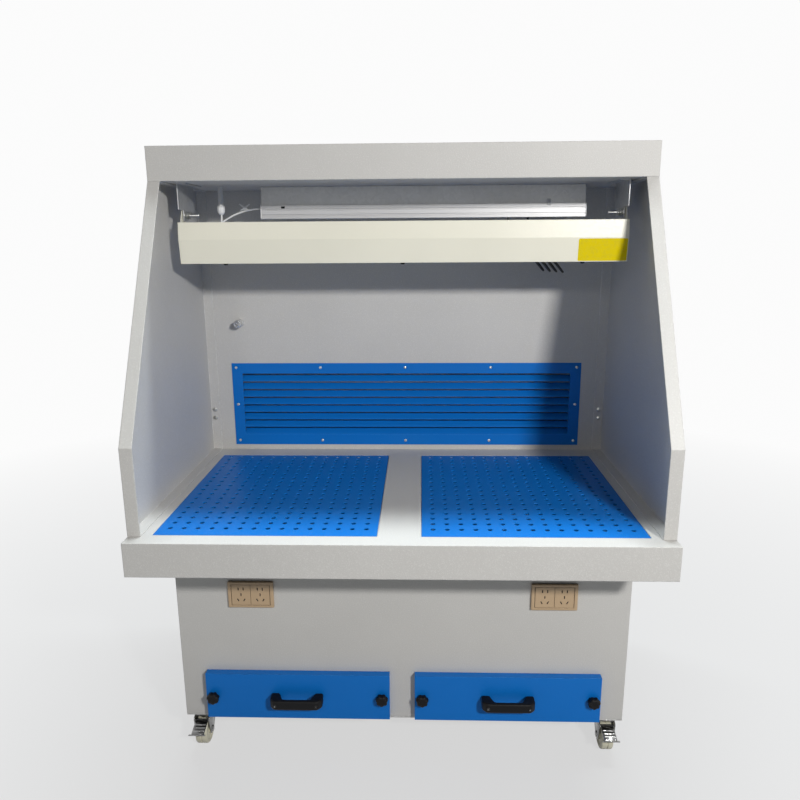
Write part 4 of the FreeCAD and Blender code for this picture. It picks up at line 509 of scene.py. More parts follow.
bolts = bmesh.new()
for sign in (-1, 1):
    for z in SHIELD_BOLT_LEVELS:
        bolt(bolts, 0.0058, 0.0036, 0.003, 0.012, at(sign * SHIELD_BOLT_X, BACK_FACE, z) @ FRONTWARD)
    pivot = at(sign * PIVOT_X, PIVOT_Y, PIVOT_LEVEL) @ Matrix.Rotation(sign * math.pi / 2, 4, "Y")
    turned(bolts, PIVOT_STEM, pivot, 20)
    turned(bolts, PIVOT_DOME, pivot, 28)
    washer(bolts, 0.004, 0.0125, 0.0012, pivot @ DOWNWARD)
    hexagon(bolts, 0.0110, 0.0080, pivot @ at(0, 0, -0.0012) @ DOWNWARD, 0.0009)
    hexagon(bolts, 0.0104, 0.0045, pivot @ at(0, 0, -0.0098) @ DOWNWARD, 0.0009)
for x, y in CASTERS.values():
    for sign_x in (-1, 1):
        for sign_y in (-1, 1):
            seat = at(x + sign_x * CASTER_BOLT[0], y + sign_y * CASTER_BOLT[1], PLATE_LEVEL) @ DOWNWARD
            bolt(bolts, 0.0072, 0.0045, 0.004, 0.013, seat)
show(bolts, "bolts_and_washers", "cabinet", [zinc_plate], ["hexagon_bolts"])

# Louvre screws: zinc-plated pan heads with a cross recess, driven through the grille's frame into the back
# panel, five along the top, five along the bottom and one half-way up each side.
SCREW_COLUMNS = (-0.5305, -0.26525, 0.0, 0.26525, 0.5305)
LOUVRE_SCREWS = [(x, z) for z in (0.730, 0.966) for x in SCREW_COLUMNS]
LOUVRE_SCREWS += [(-0.5305, 0.848), (0.5305, 0.848)]
SCREW_STEM = [(0.0, 0.0), (0.0, 0.002), (-0.007, 0.002), (-0.008, 0.001), (-0.008, 0.0)]


def closed_loop(bm, points, z):
    """The edges that join points on one level into a closed loop."""
    corners = [bm.verts.new((x, y, z)) for x, y in points]
    return [bm.edges.new(pair) for pair in zip(corners, corners[1:] + corners[:1])]


def edges_of(corners):
    return list({edge for vertex in corners for edge in vertex.link_edges})


def drawn_out(bm, edges, depth):
    """Draws edges out along Z, and gives their new corners and everything that was made."""
    made = bmesh.ops.extrude_edge_only(bm, edges=edges)["geom"]
    moved = [item for item in made if isinstance(item, bmesh.types.BMVert)]
    bmesh.ops.translate(bm, vec=(0.0, 0.0, depth), verts=moved)
    return moved, made


def pan_screw(bm, radius, height, matrix):
    """A domed screw head with a cross-shaped recess."""
    before = set(bm.verts)
    arm = radius * 0.13
    tip = radius * 0.52
    cross = [
        (arm, arm), (arm, tip), (-arm, tip), (-arm, arm), (-tip, arm), (-tip, -arm),
        (-arm, -arm), (-arm, -tip), (arm, -tip), (arm, -arm), (tip, -arm), (tip, arm),
    ]
    mouth = closed_loop(bm, cross, height)
    rings = []
    for share, rise in ((0.70, 0.93), (0.90, 0.68), (1.0, 0.30), (1.0, 0.0)):
        ring = bmesh.ops.create_circle(
            bm, cap_ends=False, segments=24, radius=radius * share, matrix=at(0, 0, height * rise)
        )["verts"]
        rings.append(edges_of(ring))
    for inner, outer in zip([mouth] + rings, rings):
        bmesh.ops.bridge_loops(bm, edges=inner + outer)
    floor_corners, _ = drawn_out(bm, mouth, -height * 0.55)
    bmesh.ops.contextual_create(bm, geom=floor_corners)
    settle(bm, before, matrix)


screws = bmesh.new()
for index, (x, z) in enumerate(LOUVRE_SCREWS):
    seat = at(x, BACK_FACE, z) @ FRONTWARD @ Matrix.Rotation(index * 0.7, 4, "Z")
    pan_screw(screws, 0.0045, 0.0024, seat)
    turned(screws, SCREW_STEM, seat, 12)
show(screws, "louvre_pan_screws", "cabinet", [zinc_plate], ["louvre_screws"])

# Sockets: champagne-coloured moulded face plates let into the cabinet's front, each with two
# five-slot modules that snap in from behind and leave a fine dark joint round them.
SOCKET_PLATE = (0.118, 0.072)
SOCKET_DEPTH = 0.008
SOCKET_EASE = 0.0022
SOCKET_X, SOCKET_FACE, SOCKET_LEVEL = 0.389, -0.219, 0.467
SOCKET_BOX = (0.102, 0.054)
BOX_DEPTH = 0.028
MODULE = (0.0485, 0.056)
MODULE_GAP = 0.001
MODULE_SUNK = 0.0004
MODULE_SIDE = 0.0022
WINDOW = (2 * MODULE[0] + 0.004, MODULE[1] + 0.002)
WINDOW_DEPTH = 0.0035
PIN_SLOT = (0.0026, 0.008)
PIN_DEPTH = 0.010
PIN_SLOTS = [
    (-0.0065, 0.017, 0.0), (0.0065, 0.017, 0.0), (0.0, 0.001, 0.0),
    (-0.008, -0.014, 30.0), (0.008, -0.014, -30.0),
]
CHAMPAGNE = (0.52, 0.37, 0.225, 1.0)
CHAMPAGNE_PALE = (0.66, 0.50, 0.33, 1.0)
SLOT_DARK = (0.02, 0.018, 0.016, 1.0)
SLOT_PALE = (0.03, 0.03, 0.03, 1.0)
champagne_plastic = sprayed(
    "champagne_plastic", CHAMPAGNE, CHAMPAGNE_PALE, roughness=0.36, grain=1400.0, depth=0.0002,
    fleck=0.15, edge=0.0008,
)
slot_black = sprayed(
    "socket_inside", SLOT_DARK, SLOT_PALE, roughness=0.6, grain=900.0, depth=0.0001
)


def socket_module(bm, matrix):
    """A raised module face with five pin slots sunk into it."""
    before = set(bm.verts)
    rim = closed_loop(bm, rectangle(*MODULE), 0.0)
    slots = []
    for slot_x, slot_y, slant in PIN_SLOTS:
        turn = Matrix.Rotation(math.radians(slant), 2)
        outline = [Vector((slot_x, slot_y)) + turn @ Vector(corner) for corner in rectangle(*PIN_SLOT)]
        slots.append(closed_loop(bm, outline, 0.0))
    bmesh.ops.triangle_fill(bm, use_beauty=True, use_dissolve=False, edges=rim + sum(slots, []))
    drawn_out(bm, rim, -MODULE_SIDE)
    for mouth in slots:
        lower, made = drawn_out(bm, mouth, -PIN_DEPTH)
        floor_face = bmesh.ops.contextual_create(bm, geom=lower)["faces"]
        for face in floor_face + [item for item in made if isinstance(item, bmesh.types.BMFace)]:
            face.material_index = 1
    settle(bm, before, matrix)


for side, sign in (("left", -1), ("right", 1)):
    socket = bmesh.new()
    seat = at(sign * SOCKET_X, SOCKET_FACE, SOCKET_LEVEL) @ FRONTWARD
    outer_edges = closed_loop(socket, rectangle(*SOCKET_PLATE), SOCKET_DEPTH)
    window_edges = closed_loop(socket, rectangle(*WINDOW), SOCKET_DEPTH)
    bmesh.ops.bridge_loops(socket, edges=outer_edges + window_edges)
    lower, _ = drawn_out(socket, outer_edges, -SOCKET_DEPTH)
    bmesh.ops.contextual_create(socket, geom=lower)
    lower, _ = drawn_out(socket, window_edges, -WINDOW_DEPTH)
    for face in bmesh.ops.contextual_create(socket, geom=lower)["faces"]:
        face.material_index = 1
    bmesh.ops.recalc_face_normals(socket, faces=socket.faces)
    rim_edges = [edge for edge in socket.edges if len(edge.link_faces) == 2 and edge.calc_face_angle() > 0.5
                 and all(abs(vertex.co.x) > 0.055 for vertex in edge.verts)]
    round_off(socket, rim_edges, SOCKET_EASE, 4)
    bmesh.ops.transform(socket, matrix=seat, verts=socket.verts)
    for offset in (-1, 1):
        module_x = offset * (MODULE[0] + MODULE_GAP) / 2
        socket_module(socket, seat @ at(module_x, 0, SOCKET_DEPTH - MODULE_SUNK))
    slab(socket, rectangle(*SOCKET_BOX), BOX_DEPTH, seat @ at(0, 0, -BOX_DEPTH), corner=0.003, ease=0.0008)
    show(socket, side + "_socket_plate", "cabinet", [champagne_plastic, slot_black],
         [side + "_socket"], 40.0)

# Drawer handles: black moulded bridge handles, held by blackened screws through their feet from the
# front.
HANDLE_OUTLINE = [
    (-0.0685, 0.0), (-0.0685, 0.028), (-0.0565, 0.040), (0.0565, 0.040), (0.0685, 0.028), (0.0685, 0.0),
    (0.0475, 0.0), (0.0355, 0.027), (-0.0355, 0.027), (-0.0475, 0.0),
]
HANDLE_HEIGHT = 0.026
HANDLE_MIDDLE = 0.276
HANDLE_LEVEL = 0.1795
HANDLE_REACH = 0.040
HANDLE_SCREW = 0.0535
HANDLE_COLLAR = [(-0.004, 0.0), (-0.004, 0.0052), (0.0002, 0.0052), (0.0006, 0.0046), (0.0006, 0.0)]
DRAWER_FACE = -0.2395
BLACK = (0.006, 0.006, 0.007, 1.0)
BLACK_PALE = (0.03, 0.03, 0.032, 1.0)
OXIDE = (0.045, 0.045, 0.047, 1.0)
OXIDE_BLOOM = (0.025, 0.025, 0.026, 1.0)
black_plastic = sprayed(
    "black_plastic", BLACK, BLACK_PALE, roughness=0.46, grain=1500.0, depth=0.0003,
    edge=0.0008, sheen=0.15,
)
black_oxide = plated("black_oxide_steel", OXIDE, OXIDE_BLOOM, roughness=0.34, scratch=900.0)
for side, sign in (("left", -1), ("right", 1)):
    handle = bmesh.new()
    seat = at(sign * HANDLE_MIDDLE, DRAWER_FACE, HANDLE_LEVEL + HANDLE_HEIGHT / 2) @ DOWNWARD
    slab(handle, HANDLE_OUTLINE, HANDLE_HEIGHT, seat, corner=0.005, ease=0.0048, segments=4)
    caps = bmesh.new()
    for foot in (-1, 1):
        foot_x = sign * HANDLE_MIDDLE + foot * HANDLE_SCREW
        seat = at(foot_x, DRAWER_FACE - HANDLE_REACH, HANDLE_LEVEL) @ FRONTWARD
        turned(handle, HANDLE_COLLAR, seat, 24)
        pan_screw(caps, 0.0036, 0.0014, seat @ at(0, 0, 0.0005) @ Matrix.Rotation(foot * 0.5, 4, "Z"))
    show(handle, side + "_handle_moulding", side + "_drawer", [black_plastic],
         [side + "_drawer_handle"])
    show(caps, side + "_handle_screws", side + "_drawer", [black_oxide])

# Clamping knobs: seven-lobed black star knobs with a domed top and a pressed-in cap, moulded on steel
# studs that draw the drawer front against the cabinet.
KNOB_RADIUS = 0.0165
KNOB_LOBES = 7
LOBE_DEPTH = 0.14
KNOB_COLLAR = [(0.0, 0.0), (0.0, 0.0085), (0.0005, 0.009), (0.006, 0.0085), (0.006, 0.0)]
KNOB_CROWN = [
    (0.0050, 0.72), (0.0052, 0.90), (0.0062, 0.985), (0.0085, 1.0), (0.0135, 1.0), (0.0160, 0.965),
    (0.0182, 0.88), (0.0195, 0.74), (0.0200, 0.56), (0.0200, 0.50), (0.0194, 0.485), (0.0194, 0.30),
    (0.0197, 0.10),
]
KNOB_STUD = [(0.001, 0.0), (0.001, 0.004), (-0.031, 0.004), (-0.032, 0.003), (-0.032, 0.0)]


def lobed(bm, radius, lobes, depth, steps, matrix):
    """Draws a lobed ring through steps of (along, scale), and closes both of its ends."""
    before = set(bm.verts)
    ring = bmesh.ops.create_circle(bm, cap_ends=False, segments=12 * lobes, radius=radius)["verts"]
    for vertex in ring:
        angle = math.atan2(vertex.co.y, vertex.co.x) - math.pi / 2
        vertex.co *= 1 - depth * (1 + math.cos(lobes * angle)) / 2
    rim = edges_of(ring)
    first_along, first_scale = steps[0]
    bmesh.ops.scale(bm, vec=(first_scale, first_scale, 1.0), verts=ring)
    bmesh.ops.translate(bm, vec=(0.0, 0.0, first_along), verts=ring)
    bm.faces.new(ring)
    for (was_along, was_scale), (along, scale) in zip(steps, steps[1:]):
        moved, made = drawn_out(bm, rim, along - was_along)
        rim = [item for item in made if isinstance(item, bmesh.types.BMEdge)
               and all(vertex in moved for vertex in item.verts)]
        share = scale / was_scale
        bmesh.ops.scale(bm, vec=(share, share, 1.0), verts=moved)
    bmesh.ops.contextual_create(bm, geom=rim)
    settle(bm, before, matrix)


for side, sign in (("left", -1), ("right", 1)):
    for place, x in (("outer", 0.499), ("inner", 0.053)):
        name = side + "_" + place
        knob = bmesh.new()
        seat = at(sign * x, DRAWER_FACE, HANDLE_LEVEL) @ FRONTWARD
        turned(knob, KNOB_COLLAR, seat, 32)
        lobed(knob, KNOB_RADIUS, KNOB_LOBES, LOBE_DEPTH, KNOB_CROWN, seat)
        turned(knob, KNOB_STUD, seat, 20)
        show(knob, name + "_star_knob", name + "_star", [black_plastic],
             [name + "_knob"], 38.0)

# Air coupling: chromed brass, with a hexagon that is screwed against the back panel, a bored tube and
# a knurled sleeve that slides back on a spring to let the plug go.
COUPLER_SEAT = at(-0.510, 0.291, 1.106) @ FRONTWARD
CHROME = (0.78, 0.78, 0.79, 1.0)
CHROME_DULL = (0.66, 0.67, 0.68, 1.0)
KNURLS = 40
KNURL = (0.0009, 0.0012)
chrome_plate = plated("chromed_brass", CHROME, CHROME_DULL, roughness=0.10, scratch=1200.0)


def ribs(bm, count, section, length, radius, start, seat, ease=0.0):
    """Straight ribs of one section round an axis, each as long as given from its start."""
    for index in range(count):
        turn = Matrix.Rotation(index * 2 * math.pi / count, 4, "Z")
        slab(bm, rectangle(*section), length, seat @ turn @ at(radius, 0, start), ease=ease)


coupler = bmesh.new()
hexagon(coupler, 0.013, 0.009, COUPLER_SEAT, 0.0008)
tube = [
    (0.008, 0.0), (0.008, 0.0080), (0.0345, 0.0080), (0.0350, 0.0075), (0.0362, 0.0075), (0.0367, 0.0080),
    (0.0415, 0.0080), (0.0430, 0.0068), (0.0430, 0.0052), (0.0420, 0.0040), (0.0090, 0.0040), (0.0085, 0.0),
]
turned(coupler, tube, COUPLER_SEAT, 36)
stem = [(0.001, 0.0), (0.001, 0.0065), (-0.017, 0.0065), (-0.018, 0.0055), (-0.018, 0.0)]
turned(coupler, stem, COUPLER_SEAT, 28)
show(coupler, "coupler_turning", "cabinet", [chrome_plate], ["coupler_body"])
sleeve = bmesh.new()
sleeve_profile = [
    (0.0132, 0.00806), (0.0132, 0.0112), (0.0139, 0.0119), (0.0160, 0.0119), (0.0164, 0.0113),
    (0.0172, 0.0113), (0.0294, 0.0113), (0.0302, 0.0119), (0.0322, 0.0119), (0.0332, 0.0108),
    (0.0332, 0.00806),
]
turned(sleeve, sleeve_profile, COUPLER_SEAT, 48, ring=True)
ribs(sleeve, KNURLS, KNURL, 0.0116, 0.0116, 0.0174, COUPLER_SEAT)
show(sleeve, "coupler_knurled_sleeve", "sleeve", [chrome_plate], ["coupler_sleeve"])

# Fan and pulse gear inside the cabinet: the fan's housing, wheel and motor, the air tank and its pulse
# valves. All are sprayed with one dark blue-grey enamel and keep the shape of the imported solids.
GEAR_BLUE = (0.05, 0.10, 0.16, 1.0)
GEAR_PALE = (0.15, 0.20, 0.26, 1.0)
gear_enamel = sprayed(
    "motor_paint", GEAR_BLUE, GEAR_PALE, roughness=0.40, grain=700.0, depth=0.0004, edge=0.001
)
finish_nodes("motor_paint", gear_enamel)

# Supply gland: a black nylon gland through the rear panel, with a ribbed clamping nut outside and a short
# stem inside. It is empty, ready for a mains cable.
SUPPLY_SEAT = at(-0.450, 0.395, 0.300) @ REARWARD
SUPPLY_RIBS = 12
SUPPLY_RIB = (0.0020, 0.0034)
SUPPLY_STEM = [(-0.016, 0.0045), (-0.016, 0.0065), (-0.0155, 0.007), (0.0, 0.007), (0.0, 0.0045)]
SUPPLY_NUT = [
    (0.0, 0.0045), (0.0, 0.0132), (0.0004, 0.0136), (0.0034, 0.0136), (0.0040, 0.0128), (0.0044, 0.0112),
    (0.0066, 0.0108), (0.0078, 0.0094), (0.0080, 0.0078), (0.0080, 0.0050), (0.0072, 0.0045),
]
supply = bmesh.new()
turned(supply, SUPPLY_NUT, SUPPLY_SEAT, 36, ring=True)
ribs(supply, SUPPLY_RIBS, SUPPLY_RIB, 0.0036, 0.0138, 0.0002, SUPPLY_SEAT, 0.0003)
turned(supply, SUPPLY_STEM, SUPPLY_SEAT, 28, ring=True)
show(supply, "supply_gland_moulding", "cabinet", [black_plastic], ["supply_gland"])

# Filter cartridges: pleated media in a cage of thin posts between a flange and a steel end cap. They stand
# out from the filter wall, held by their flanges.
CARTRIDGES = (-0.370, 0.0, 0.370)
PLEATS = 90
PLEAT_RADIUS = 0.105
PLEAT_INNER = 0.82
PLEAT_LENGTH = 0.272
PLEAT_START = 0.005
POSTS = 24
POST = (0.0012, 0.003)
FLANGE = [(0.0, 0.070), (0.0, 0.118), (0.0015, 0.118), (0.0020, 0.110), (0.012, 0.108), (0.012, 0.070)]
END_CAP = [
    (0.270, 0.0), (0.270, 0.108), (0.2825, 0.108), (0.284, 0.1065), (0.284, 0.030), (0.281, 0.027),
    (0.281, 0.0),
]
MEDIA_DARK = (0.70, 0.70, 0.67, 1.0)
MEDIA_LIGHT = (0.82, 0.82, 0.80, 1.0)
MEDIA_DUST = (0.45, 0.43, 0.39, 1.0)
filter_media, tree, shader = new_material("filter_media")
where = own_space(tree)
fibres = noise(tree, where, 1400.0, 4.0, 0.7)
dust_and_shade = remap(tree, noise(tree, where, 14.0, 4.0), 0.4, 0.7, 0.0, 0.6)
media_colour = mix(tree, fibres, MEDIA_DARK, MEDIA_LIGHT)
fill(tree, shader, {"Base Color": mix(tree, dust_and_shade, media_colour, MEDIA_DUST), "Roughness": 0.95})
emboss(tree, shader, 0.4, 0.0004, fibres)
cartridges = bmesh.new()
for x in CARTRIDGES:
    seat = at(x, 0.132, 0.440) @ FRONTWARD
    before = set(cartridges.verts)
    pleats = bmesh.ops.create_circle(
        cartridges, cap_ends=False, segments=2 * PLEATS, radius=PLEAT_RADIUS
    )["verts"]
    for vertex in pleats[::2]:
        vertex.co *= PLEAT_INNER
    drawn_out(cartridges, edges_of(pleats), PLEAT_LENGTH)
    bmesh.ops.transform(cartridges, matrix=seat @ at(0, 0, PLEAT_START), verts=grown(cartridges, before))
    turned(cartridges, FLANGE, seat, 64, ring=True)
    turned(cartridges, END_CAP, seat, 64)
    ribs(cartridges, POSTS, POST, 0.262, 0.1070, 0.010, seat)
show(cartridges, "pleated_cartridges", "cabinet", [filter_media], ["filter_cartridges"])

# Lamp lead gland: a white nylon cable gland on a short threaded stem in the hood's soffit. Its ribbed
# clamping nut tapers down to the lead that it grips.
GLAND_SEAT = at(-0.503, 0.135, 1.499) @ DOWNWARD
GLAND_RIBS = 12
GLAND_RIB = (0.0012, 0.0026)
THREAD_TURNS = 22
THREAD_PITCH = 0.0022
GLAND_NUT = [
    (0.050, 0.0), (0.050, 0.0090), (0.0508, 0.0095), (0.0665, 0.0095), (0.0690, 0.0086), (0.0722, 0.0066),
    (0.0736, 0.0050), (0.0740, 0.0038), (0.0740, 0.0026), (0.0700, 0.0026), (0.0700, 0.0),
]
WHITE = (0.90, 0.90, 0.89, 1.0)
WHITE_PALE = (0.95, 0.95, 0.94, 1.0)
white_plastic = sprayed(
    "white_plastic", WHITE, WHITE_PALE, roughness=0.40, grain=900.0, depth=0.0002, edge=0.0008
)
thread = [(0.0, 0.0), (0.0, 0.0068)]
for step in range(THREAD_TURNS):
    thread += [(0.0010 + THREAD_PITCH * step, 0.0070), (0.0021 + THREAD_PITCH * step, 0.0064)]
gland = bmesh.new()
turned(gland, thread + [(0.051, 0.0068), (0.051, 0.0)], GLAND_SEAT, 28)
turned(gland, GLAND_NUT, GLAND_SEAT, 40)
ribs(gland, GLAND_RIBS, GLAND_RIB, 0.014, 0.0094, 0.0518, GLAND_SEAT, 0.0003)
show(gland, "lead_gland_moulding", "cabinet", [white_plastic], ["lead_gland"])

# Lamp: a body of extruded aluminium, left as drawn, with die lines along its length and a matt bright
# face. An opal diffuser is set into its underside, moulded caps close its ends, and two spring clips, one
# black and one white, sit near its upper edge.
ALLOY_DARK = (0.40, 0.40, 0.41, 1.0)
ALLOY_LIGHT = (0.60, 0.60, 0.60, 1.0)
OPAL_DARK = (0.80, 0.80, 0.78, 1.0)
OPAL_LIGHT = (0.90, 0.90, 0.88, 1.0)
DIFFUSER = [
    (0.160, 1.4165), (0.160, 1.4146), (0.163, 1.4136), (0.187, 1.4136), (0.190, 1.4146), (0.190, 1.4165),
]
DIFFUSER_START, DIFFUSER_LENGTH = -0.380, 0.866
END_PLATE = [(0.1495, 1.4130), (0.2005, 1.4130), (0.2005, 1.4505), (0.1495, 1.4505)]
END_SHEET = 0.0025
LEAD_INLET = [(-0.002, 0.0), (-0.002, 0.0052), (0.004, 0.0048), (0.0075, 0.0036), (0.0075, 0.0)]
CLIP_WIDTH = 0.010
LOW_HOOK = [(0.1482, 1.4415), (0.1500, 1.4410), (0.1500, 1.4468), (0.1482, 1.4463)]
TALL_HOOK = [
    (0.1484, 1.4445), (0.1500, 1.4440), (0.1500, 1.4502), (0.1550, 1.4502), (0.1550, 1.4615),
    (0.1532, 1.4615), (0.1532, 1.4535), (0.1484, 1.4535),
]
lamp_alloy, tree, shader = new_material("lamp_alloy")
where = own_space(tree)
drawn = add(tree, "ShaderNodeMapping", {"Vector": where, "Scale": (0.02, 1.0, 1.0)}).outputs[0]
die_lines = noise(tree, drawn, 700.0, 3.0)
fill(tree, shader, {
    "Base Color": mix(tree, die_lines, ALLOY_DARK, ALLOY_LIGHT),
    "Roughness": remap(tree, die_lines, 0.3, 0.7, 0.36, 0.5),
    "Metallic": 0.5,
})
edges = add(tree, "ShaderNodeGroup", {"Radius": 0.0008}, node_tree=edge_tree)
emboss(tree, shader, 0.2, 0.0004, die_lines, edges.outputs["Normal"])
finish_nodes("lamp_alloy", lamp_alloy)
opal, tree, shader = new_material("opal_diffuser")
where = own_space(tree)
ribbing = {"Vector": where, "Scale": 120.0, "Distortion": 0.0}
prisms = add(tree, "ShaderNodeTexWave", ribbing, bands_direction="Y").outputs["Fac"]
fill(tree, shader, {
    "Base Color": mix(tree, prisms, OPAL_DARK, OPAL_LIGHT),
    "Roughness": remap(tree, noise(tree, where, 40.0), 0.3, 0.7, 0.22, 0.34),
    "Subsurface Weight": 0.2,
})
emboss(tree, shader, 0.3, 0.0005, prisms)
diffuser = bmesh.new()
slab(diffuser, DIFFUSER, DIFFUSER_LENGTH, at(DIFFUSER_START, 0, 0) @ SIDE_VIEW, ease=0.0003)
show(diffuser, "diffuser_cover", "cabinet", [opal], ["lamp_diffuser"])
ends = bmesh.new()
for x in (-0.3975, 0.501):
    slab(ends, END_PLATE, END_SHEET, at(x, 0, 0) @ SIDE_VIEW, corner=0.004, ease=0.0008)
turned(ends, LEAD_INLET, at(-0.3965, 0.175, 1.442) @ Matrix.Rotation(-math.pi / 2, 4, "Y"), 24)
show(ends, "lamp_end_caps", "cabinet", [white_plastic])
for name, x, hook, material, slot in (
    ("lamp_clip_black", -0.334, LOW_HOOK, black_plastic, "black_plastic"),
    ("lamp_clip_white", 0.401, TALL_HOOK, white_plastic, "white_plastic"),
):
    clip = bmesh.new()
    slab(clip, hook, CLIP_WIDTH, at(x - CLIP_WIDTH / 2, 0, 0) @ SIDE_VIEW, ease=0.0003)
    show(clip, name, "cabinet", [material])


# Lamp lead: thin white mains cable that leaves its gland downwards, sags, turns back behind the gland and
# goes up into the lamp's end.
def sheath(name, colour, pale):
    """Soft cable sheath: satin, slightly uneven, with handling marks."""
    material, tree, shader = new_material(name)
    where = own_space(tree)
    marks = remap(tree, noise(tree, where, 240.0, 3.0), 0.4, 0.7, 0.0, 1.0)
    fill(tree, shader, {
        "Base Color": mix(tree, marks, colour, pale),
        "Roughness": remap(tree, marks, 0.0, 1.0, 0.38, 0.55),
    })
    emboss(tree, shader, 0.2, 0.0002, marks)
    return material


def cable(name, points, diameter, material):
    """A round cable along a smooth line drawn by its control points."""
    curve = bpy.data.curves.new(name, "CURVE")
    curve.dimensions = "3D"
    curve.bevel_depth = diameter / 2
    curve.bevel_resolution = 5
    curve.resolution_u = 10
    curve.use_fill_caps = True
    line = curve.splines.new("NURBS")
    line.points.add(len(points) - 1)
    for control, point in zip(line.points, points):
        control.co = (*point, 1.0)
    line.order_u = 3
    line.use_endpoint_u = True
    made = bpy.data.objects.new(name, curve)
    bpy.context.collection.objects.link(made)
    curve.materials.append(material)
    return made


LEAD_DIAMETER = 0.005
LEAD_ROUTE = [
    (-0.503, 0.135, 1.425),
    (-0.503, 0.135, 1.388),
    (-0.541, 0.168, 1.388),
    (-0.453, 0.175, 1.442),
    (-0.395, 0.175, 1.442),
]
SHEATH_WHITE = (0.92, 0.92, 0.90, 1.0)
SHEATH_MARKED = (0.84, 0.84, 0.81, 1.0)
white_sheath = sheath("white_sheath", SHEATH_WHITE, SHEATH_MARKED)
lead = cable("lamp_lead_line", LEAD_ROUTE, LEAD_DIAMETER, white_sheath)
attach(lead, "cabinet")
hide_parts("lamp_lead")

# Cable tie: a soft white nylon tie knotted round the lead near the lamp. Its four tails are left long and
# spread out flat.
TIE_BAND = [(-0.0024, 0.0025), (-0.0024, 0.0040), (0.0024, 0.0040), (0.0024, 0.0025)]
TIE_TAILS = [
    (-0.0160, 0.0095), (-0.0140, 0.0125), (0.0, 0.0038), (0.0135, 0.0115), (0.0155, 0.0090), (0.0042, 0.0),
    (0.0130, -0.0055), (0.0115, -0.0080), (0.0, -0.0032), (-0.0120, -0.0075), (-0.0135, -0.0050),
    (-0.0042, 0.0),
]
tie = bmesh.new()
tie_seat = at(-0.4455, 0.1745, 1.4410) @ Matrix.Rotation(math.pi / 2 - 0.2, 4, "Y")
turned(tie, TIE_BAND, tie_seat, 24, ring=True)
slab(tie, TIE_TAILS, 0.0032, at(-0.4455, 0.1700, 1.4440) @ FRONTWARD, ease=0.0005)
show(tie, "lead_tie", "cabinet", [white_plastic])

# Spare cable: black mains cable gathered in a hank of four leaning loops, folded from front to back. It
# leaves the lamp's underside at the front and goes back into it at the rear.
HANK_DIAMETER = 0.006
HANK_LOOPS = 4
HANK_RUN = 0.104
HANK_NECK = 0.025
HANK_STEP = 0.0065
HANK_DEEP = Vector((0.0, 0.042, 0.0))
HANK_LEAN = math.radians(40)
HANK_BEND = 0.026
HANK_STUB = 0.0165
HANK_START = Vector((0.291, 0.154, 1.4135))
along = Vector((math.sin(HANK_LEAN), 0.0, -math.cos(HANK_LEAN)))
across = Vector((math.cos(HANK_LEAN), 0.0, math.sin(HANK_LEAN)))
out_shift = across * HANK_STEP + HANK_DEEP
back_shift = across * HANK_STEP - HANK_DEEP
bend_reach = HANK_BEND * math.tan(HANK_LEAN / 2)
bend_corner = HANK_START - Vector((0.0, 0.0, HANK_STUB + bend_reach))
here = bend_corner + along * bend_reach
level = here.z


def fold(turn, shift, heading):
    """Control points of a half-turn that starts along the heading and ends one shift away."""
    radius = shift.length / 2
    short = heading * (radius * math.tan(math.pi / 6))
    tip = turn + shift / 2 + heading * (radius / math.cos(math.pi / 6))
    return [turn - short, turn + short, tip, turn + shift + short, turn + shift - short]


hank_points = [HANK_START, bend_corner, bend_corner + along * (2 * bend_reach)]
for loop in range(HANK_LOOPS):
    low = here + along * (HANK_RUN + (HANK_NECK if loop == 0 else 2 * HANK_STEP))
    hank_points += fold(low, out_shift, along)
    low = low + out_shift
    if loop < HANK_LOOPS - 1:
        high = low - along * HANK_RUN
        hank_points += fold(high, back_shift, -along)
        here = high + back_shift
here = low - along * ((level - low.z) / math.cos(HANK_LEAN))
end_corner = here - along * bend_reach
hank_points += [end_corner + along * (2 * bend_reach), end_corner]
hank_points.append(Vector((end_corner.x, end_corner.y, HANK_START.z)))
SHEATH_BLACK = (0.014, 0.014, 0.015, 1.0)
SHEATH_WORN = (0.035, 0.035, 0.036, 1.0)
black_sheath = sheath("black_sheath", SHEATH_BLACK, SHEATH_WORN)
hank = cable("cable_hank_line", hank_points, HANK_DIAMETER, black_sheath)
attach(hank, "cabinet")
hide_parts("cable_hank")

# Shade fittings: a blank yellow film label on the lower facet, and three black rubber buttons under the
# bottom fold.
FILM = (0.77, 0.61, 0.002, 1.0)
FILM_SCUFFED = (0.70, 0.56, 0.008, 1.0)
LABEL = (0.123, 0.056)
LABEL_X, LABEL_UP = 0.5095, 0.030
FILM_GAP = 0.00005
FILM_THICKNESS = 0.0002
FACET_FOOT = Vector((0.0, -0.023, 1.2975))
FACET_UP = Vector((0.0, -0.007, 0.0605)).normalized()
FACET_OUT = Vector((1.0, 0.0, 0.0)).cross(FACET_UP)
BUTTON = [(0.0, 0.0), (0.0, 0.0058), (0.0016, 0.0058), (0.0034, 0.0050), (0.0044, 0.0030), (0.0046, 0.0)]
label_film, tree, shader = new_material("label_film")
where = own_space(tree)
scuffs = remap(tree, noise(tree, where, 130.0, 4.0), 0.45, 0.7, 0.0, 1.0)
fill(tree, shader, {
    "Base Color": mix(tree, scuffs, FILM, FILM_SCUFFED),
    "Roughness": remap(tree, scuffs, 0.0, 1.0, 0.25, 0.42),
    "Specular IOR Level": 0.2,
})
emboss(tree, shader, 0.15, 0.0003, noise(tree, where, 35.0))
label = bmesh.new()
facet = Matrix((Vector((1.0, 0.0, 0.0)), FACET_UP, FACET_OUT)).transposed().to_4x4()
middle = FACET_FOOT + Vector((LABEL_X, 0.0, 0.0)) + FACET_UP * LABEL_UP + FACET_OUT * FILM_GAP
slab(label, rectangle(*LABEL), FILM_THICKNESS, at(*middle) @ facet, corner=0.003)
show(label, "blank_label", "shade", [label_film])
buttons = bmesh.new()
